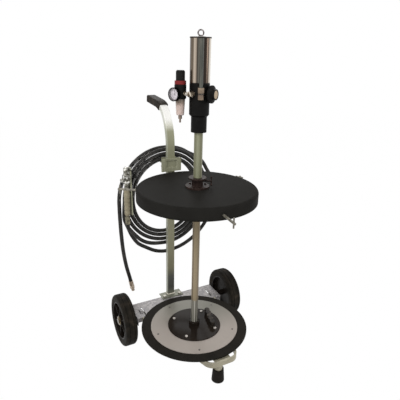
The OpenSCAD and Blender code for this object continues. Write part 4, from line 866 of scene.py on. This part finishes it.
# %% Clear plastic
HAZE_SHARE = 0.2


def clear(name, stops, rough, alpha, low, high):
    """A clear wall, tinted by height."""
    material = finish(name, rough)
    tree = material.node_tree
    shader = tree.nodes["Principled BSDF"]
    haze = pattern(tree, 120)
    tint = ramp(tree, height(tree, low, high), stops)
    cloudy = ramp(tree, haze, ((0.3, "#c9b6ae"), (0.7, "#efe3dd")))
    tree.links.new(mixed(tree, HAZE_SHARE, tint, cloudy), shader.inputs["Base Color"])
    rough_by(tree, haze, rough, rough + 0.1)
    shader.inputs["Alpha"].default_value = alpha
    return material


bowl_low, bowl_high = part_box("filter_bowl")
bowl_stops = (
    (0.0, "#b19a90"), (0.12, "#d0bab0"), (0.6, "#c6afa4"), (0.78, "#8f7965"), (0.9, "#64543f"), (1.0, "#5a4a38"),
)
bowl_clear = clear("bowl_clear", bowl_stops, rough=0.12, alpha=0.7, low=bowl_low.z, high=bowl_high.z)
dress(bowl_clear, "filter_bowl")
lens_low, lens_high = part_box("gauge_lens")
lens_stops = ((0.0, "#dcd6dc"), (1.0, "#f3f0f4"))
lens_clear = clear("lens_clear", lens_stops, rough=0.05, alpha=0.12, low=lens_low.z, high=lens_high.z)
dress(lens_clear, "gauge_lens")
print("clear: bowl", round(bowl_high.z - bowl_low.z, 4), "m high")

# %% [markdown]
# The hose is black rubber with lines of pale dashes printed along it. The UV map made with the tube gives the share
# of its length, and so the distance along it, and the dashes have their real length however the hose lies. Four
# lines stand round the hose, so that one of them faces out on every loop. The print shows on the upper left and is
# worn off below. All this is arithmetic, and a helper adds one step of it.

# %% Print on the hose
DASH_PITCH = 0.034
HALF_GAP = 0.16
LINES, LINE_HALF = 4, 0.016
INK_LEFT = 0.42
PRINT_LOW, PRINT_HIGH = 0.5, 0.64
PRINT_FADES, PRINT_FULL = -0.04, -0.09


def step(tree, kind, a, b, c=None):
    """One step of arithmetic on sockets or numbers."""
    made = node(tree, "ShaderNodeMath", operation=kind)
    for socket, value in zip(made.inputs, (a, b, c)):
        if value is None:
            continue
        if isinstance(value, (int, float)):
            socket.default_value = value
        else:
            tree.links.new(value, socket)
    return made.outputs[0]


hose_rubber = finish("hose_rubber", rough=0.5, specular=0.2)
tree = hose_rubber.node_tree
uv_map = node(tree, "ShaderNodeUVMap", uv_map="UVMap")
split = node(tree, "ShaderNodeSeparateXYZ")
tree.links.new(uv_map.outputs["UV"], split.inputs["Vector"])
along = step(tree, "PINGPONG", step(tree, "MULTIPLY", split.outputs[0], hose_length), DASH_PITCH / 2)
dash = step(tree, "GREATER_THAN", along, DASH_PITCH * HALF_GAP)
line = step(tree, "COMPARE", step(tree, "PINGPONG", split.outputs[1], 1 / LINES), 0.5 / LINES, LINE_HALF)
worn = step(tree, "GREATER_THAN", pattern(tree, scale=420, detail=3.0), INK_LEFT)
patches = step(tree, "SUBTRACT", 1.0, pattern(tree, scale=9, detail=1.0))
upper = step(tree, "GREATER_THAN", height(tree, PRINT_LOW, PRINT_HIGH), patches)
upper = step(tree, "MULTIPLY", upper, height(tree, PRINT_FADES, PRINT_FULL, "X"))
ink = step(tree, "MULTIPLY", step(tree, "MULTIPLY", dash, line), step(tree, "MULTIPLY", worn, upper))
print("print on the hose: a dash every", DASH_PITCH, "m in", LINES, "lines")

# %% [markdown]
# The rubber under the print drifts between three blacks, and the print is laid over it as one more mix.

# %% Hose rubber
INK_SHARE = 0.6
rubber = ramp(tree, pattern(tree, 40), ((0.3, "#191817"), (0.5, "#242321"), (0.7, "#33312e")))
printed = mixed(tree, step(tree, "MULTIPLY", ink, INK_SHARE), rubber, "#dedbd6")
tree.links.new(printed, tree.nodes["Principled BSDF"].inputs["Base Color"])
rough_by(tree, pattern(tree, scale=60), low=0.4, high=0.6)
relief(tree, pattern(tree, scale=700, detail=2.0), depth=0.00008)
hose.data.materials.append(hose_rubber)
print("hose:", [m.name for m in hose.data.materials])

# %% [markdown]
# The gauge's dial carries a scale. The gauge looks out from the regulator along a line that is turned about the
# pump's axis, so the dial's own three directions and the place of its face are worked out once. The distances from
# the regulator's middle out to the face are in millimetres.

# %% The dial's directions
PORT_TURN = math.radians(22.7)
knob_low, knob_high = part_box("regulator_knob")
REGULATOR = (knob_low + knob_high) / 2
port_x = Vector((math.cos(PORT_TURN), math.sin(PORT_TURN), 0))
port_y = Vector((-math.sin(PORT_TURN), math.cos(PORT_TURN), 0))
gauge_out = -port_x
REGULATOR_R = 18.5
GAUGE_STEM = 4
GAUGE_BACK = 2
DIAL_T = 0.6
DIAL_OUT = (REGULATOR_R + GAUGE_STEM + GAUGE_BACK + DIAL_T) * MM
DIAL_FACE = Vector((REGULATOR.x, REGULATOR.y, DIAL.z)) + gauge_out * DIAL_OUT
# The dial seen from its front: to the reader's right, up, and towards the reader
dial_frame = Matrix((-port_y, Vector((0, 0, 1)), gauge_out)).transposed().to_4x4()
dial_frame.translation = DIAL_FACE
print("dial at", [round(v, 4) for v in DIAL_FACE], "box", [round(v, 4) for v in DIAL])

# %% [markdown]
# Thirty-one marks make a scale over three quarters of a turn, and every fifth is long. A grid of one face is a
# rectangle, so each bar is one, and a single extrude at the end gives them all their thickness.

# %% Marks of the dial
DIAL_R = 18.5 * MM
MARK_T = 0.12 * MM
MARK_INSET = 1.6 * MM
MARK_STEPS, LONG_EVERY = 30, 5
LONG_MARK, SHORT_MARK = (0.55, 3.0), (0.3, 1.8)
SWEEP = math.radians(270)
marks = bmesh.new()
for i in range(MARK_STEPS + 1):
    width, length = SHORT_MARK if i % LONG_EVERY else LONG_MARK
    size = Vector((width, length, 0)) * MM
    bar = bmesh.ops.create_grid(marks, x_segments=1, y_segments=1, size=0.5)["verts"]
    bmesh.ops.scale(marks, vec=(size.x, size.y, 1), verts=bar)
    bmesh.ops.translate(marks, vec=(0, DIAL_R - MARK_INSET - size.y / 2, MARK_T), verts=bar)
    angle = SWEEP / 2 - SWEEP * i / MARK_STEPS
    bmesh.ops.rotate(marks, verts=bar, matrix=Matrix.Rotation(angle, 3, "Z"))
bars = bmesh.ops.extrude_face_region(marks, geom=marks.faces[:])["geom"]
bmesh.ops.translate(marks, vec=(0, 0, MARK_T), verts=[v for v in bars if isinstance(v, bmesh.types.BMVert)])
bmesh.ops.transform(marks, matrix=dial_frame, verts=marks.verts)
dial_marks = finished("dial_marks", marks, "pump")
print("dial:", MARK_STEPS + 1, "marks,", len(dial_marks.data.polygons), "faces")

# %% [markdown]
# The numbers are text, which Blender can turn into a mesh with a thickness. Seven of them go round at even steps.

# %% Numbers of the dial
NUMBER_R = 11.2
NUMBER_SIZE = 3.6 * MM
NUMBER_STEPS, NUMBER_GAP = 6, 2


def number(text, at, size):
    """A number as a thin raised mesh, in the dial's own frame."""
    drawn = bpy.data.curves.new("number_" + text, "FONT")
    drawn.body = text
    drawn.size = size
    drawn.extrude = MARK_T / 2
    drawn.align_x = "CENTER"
    drawn.align_y = "CENTER"
    holder = bpy.data.objects.new("number_" + text, drawn)
    scene.collection.objects.link(holder)
    data = bpy.data.meshes.new_from_object(holder.evaluated_get(bpy.context.evaluated_depsgraph_get()))
    bpy.data.objects.remove(holder)
    data.transform(dial_frame @ Matrix.Translation((at[0], at[1], MARK_T)))
    piece = bpy.data.objects.new("number_" + text, data)
    scene.collection.objects.link(piece)
    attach(piece, "pump")
    return piece


numbers = []
for i in range(NUMBER_STEPS + 1):
    angle = math.pi / 2 + SWEEP / 2 - SWEEP * i / NUMBER_STEPS
    spot = Vector((math.cos(angle), math.sin(angle))) * NUMBER_R * MM
    numbers.append(number(str(NUMBER_GAP * i), spot, NUMBER_SIZE))
ink_black = mottled("dial_ink", ((0.3, "#1b1a1c"), (0.7, "#262528")), 300, (0.5, 0.6), 0.00001)
for piece in [dial_marks, *numbers]:
    piece.data.materials.append(ink_black)
print("dial:", len(numbers), "numbers from 0 to", NUMBER_GAP * NUMBER_STEPS)

# %% [markdown]
# The follower's handle is an iron casting with five soft lumps. The construction model builds it from plain
# cylinders and a bar. A copy of it, merged and remeshed into small cells, is smoothed until the parts flow into
# one another, as sand-cast iron does.

# %% Cast handle
SOFTENING = 0.6


def cast_copy(name, source, cell, rounds, body):
    """A smoothed casting made from a copy of a CAD node."""
    mesh = bmesh.new()
    mesh.from_mesh(nodes[source].data)
    bmesh.ops.remove_doubles(mesh, verts=mesh.verts, dist=1e-6)
    piece = finished(name, mesh)
    remesh = piece.modifiers.new("cells", "REMESH")
    remesh.mode = "VOXEL"
    remesh.voxel_size = cell
    soften = piece.modifiers.new("soften", "SMOOTH")
    soften.factor = SOFTENING
    soften.iterations = rounds
    depsgraph = bpy.context.evaluated_depsgraph_get()
    data = bpy.data.meshes.new_from_object(piece.evaluated_get(depsgraph))
    piece.modifiers.clear()
    old = piece.data
    piece.data = data
    bpy.data.meshes.remove(old)
    data.name = name
    data.materials.clear()
    for face in data.polygons:
        face.use_smooth = True
    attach(piece, body)
    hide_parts(source)
    return piece


cast_handle = cast_copy("cast_handle", "follower_handle", cell=1.3 * MM, rounds=9, body="follower")
cast_handle.data.materials.append(handle_black)
print("cast handle:", len(cast_handle.data.polygons), "faces")

# %% [markdown]
# The post is welded to its shoe. A weld bead is a low roll of metal with a ripple for each touch of the torch.
# It is a thin tube laid along the joint, whose rings are swelled and shrunk in turn by two waves of unlike pace. It
# goes once round the post's foot, on top of the shoe, whose measures are in millimetres from the axle.

# %% Weld bead
BEAD_R = 2.6 * MM
BEAD_STEP = 1.2 * MM
BEAD_SIDES = 1
RIPPLE, RIPPLE_PACE = 0.22, 2.1
DRIFT, DRIFT_PACE = 0.1, 0.73


def bead(name, corners, radius):
    """A rippled bead once round these corners."""
    line = evenly([*corners, corners[0]], BEAD_STEP)
    piece = tube(name, line, radius, BEAD_SIDES)
    for vertex in piece.data.vertices:
        near = min(range(len(line)), key=lambda k: (line[k] - vertex.co).length_squared)
        swell = 1 + RIPPLE * math.sin(near * RIPPLE_PACE) + DRIFT * math.sin(near * DRIFT_PACE)
        vertex.co = line[near] + (vertex.co - line[near]) * swell
    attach(piece, "chassis")
    return piece


SHOE_TOP = 117
POST_Y = 70
HALF_WIDTH, HALF_DEPTH = 15, 10
BEAD_RISE = 0.6
signs = ((-1, -1), (1, -1), (1, 1), (-1, 1))
post_corners = [from_axle(x * HALF_WIDTH, POST_Y + y * HALF_DEPTH, SHOE_TOP + BEAD_RISE) for x, y in signs]
foot_bead = bead("weld_post", post_corners, BEAD_R)
weld_stops = ((0.3, "#b9b3a2"), (0.6, "#e6e1d4"))
weld = mottled("weld_metal", weld_stops, 260, (0.25, 0.4), 0.0002, metal=0.6)
foot_bead.data.materials.append(weld)
print("weld bead:", len(foot_bead.data.vertices), "vertices")
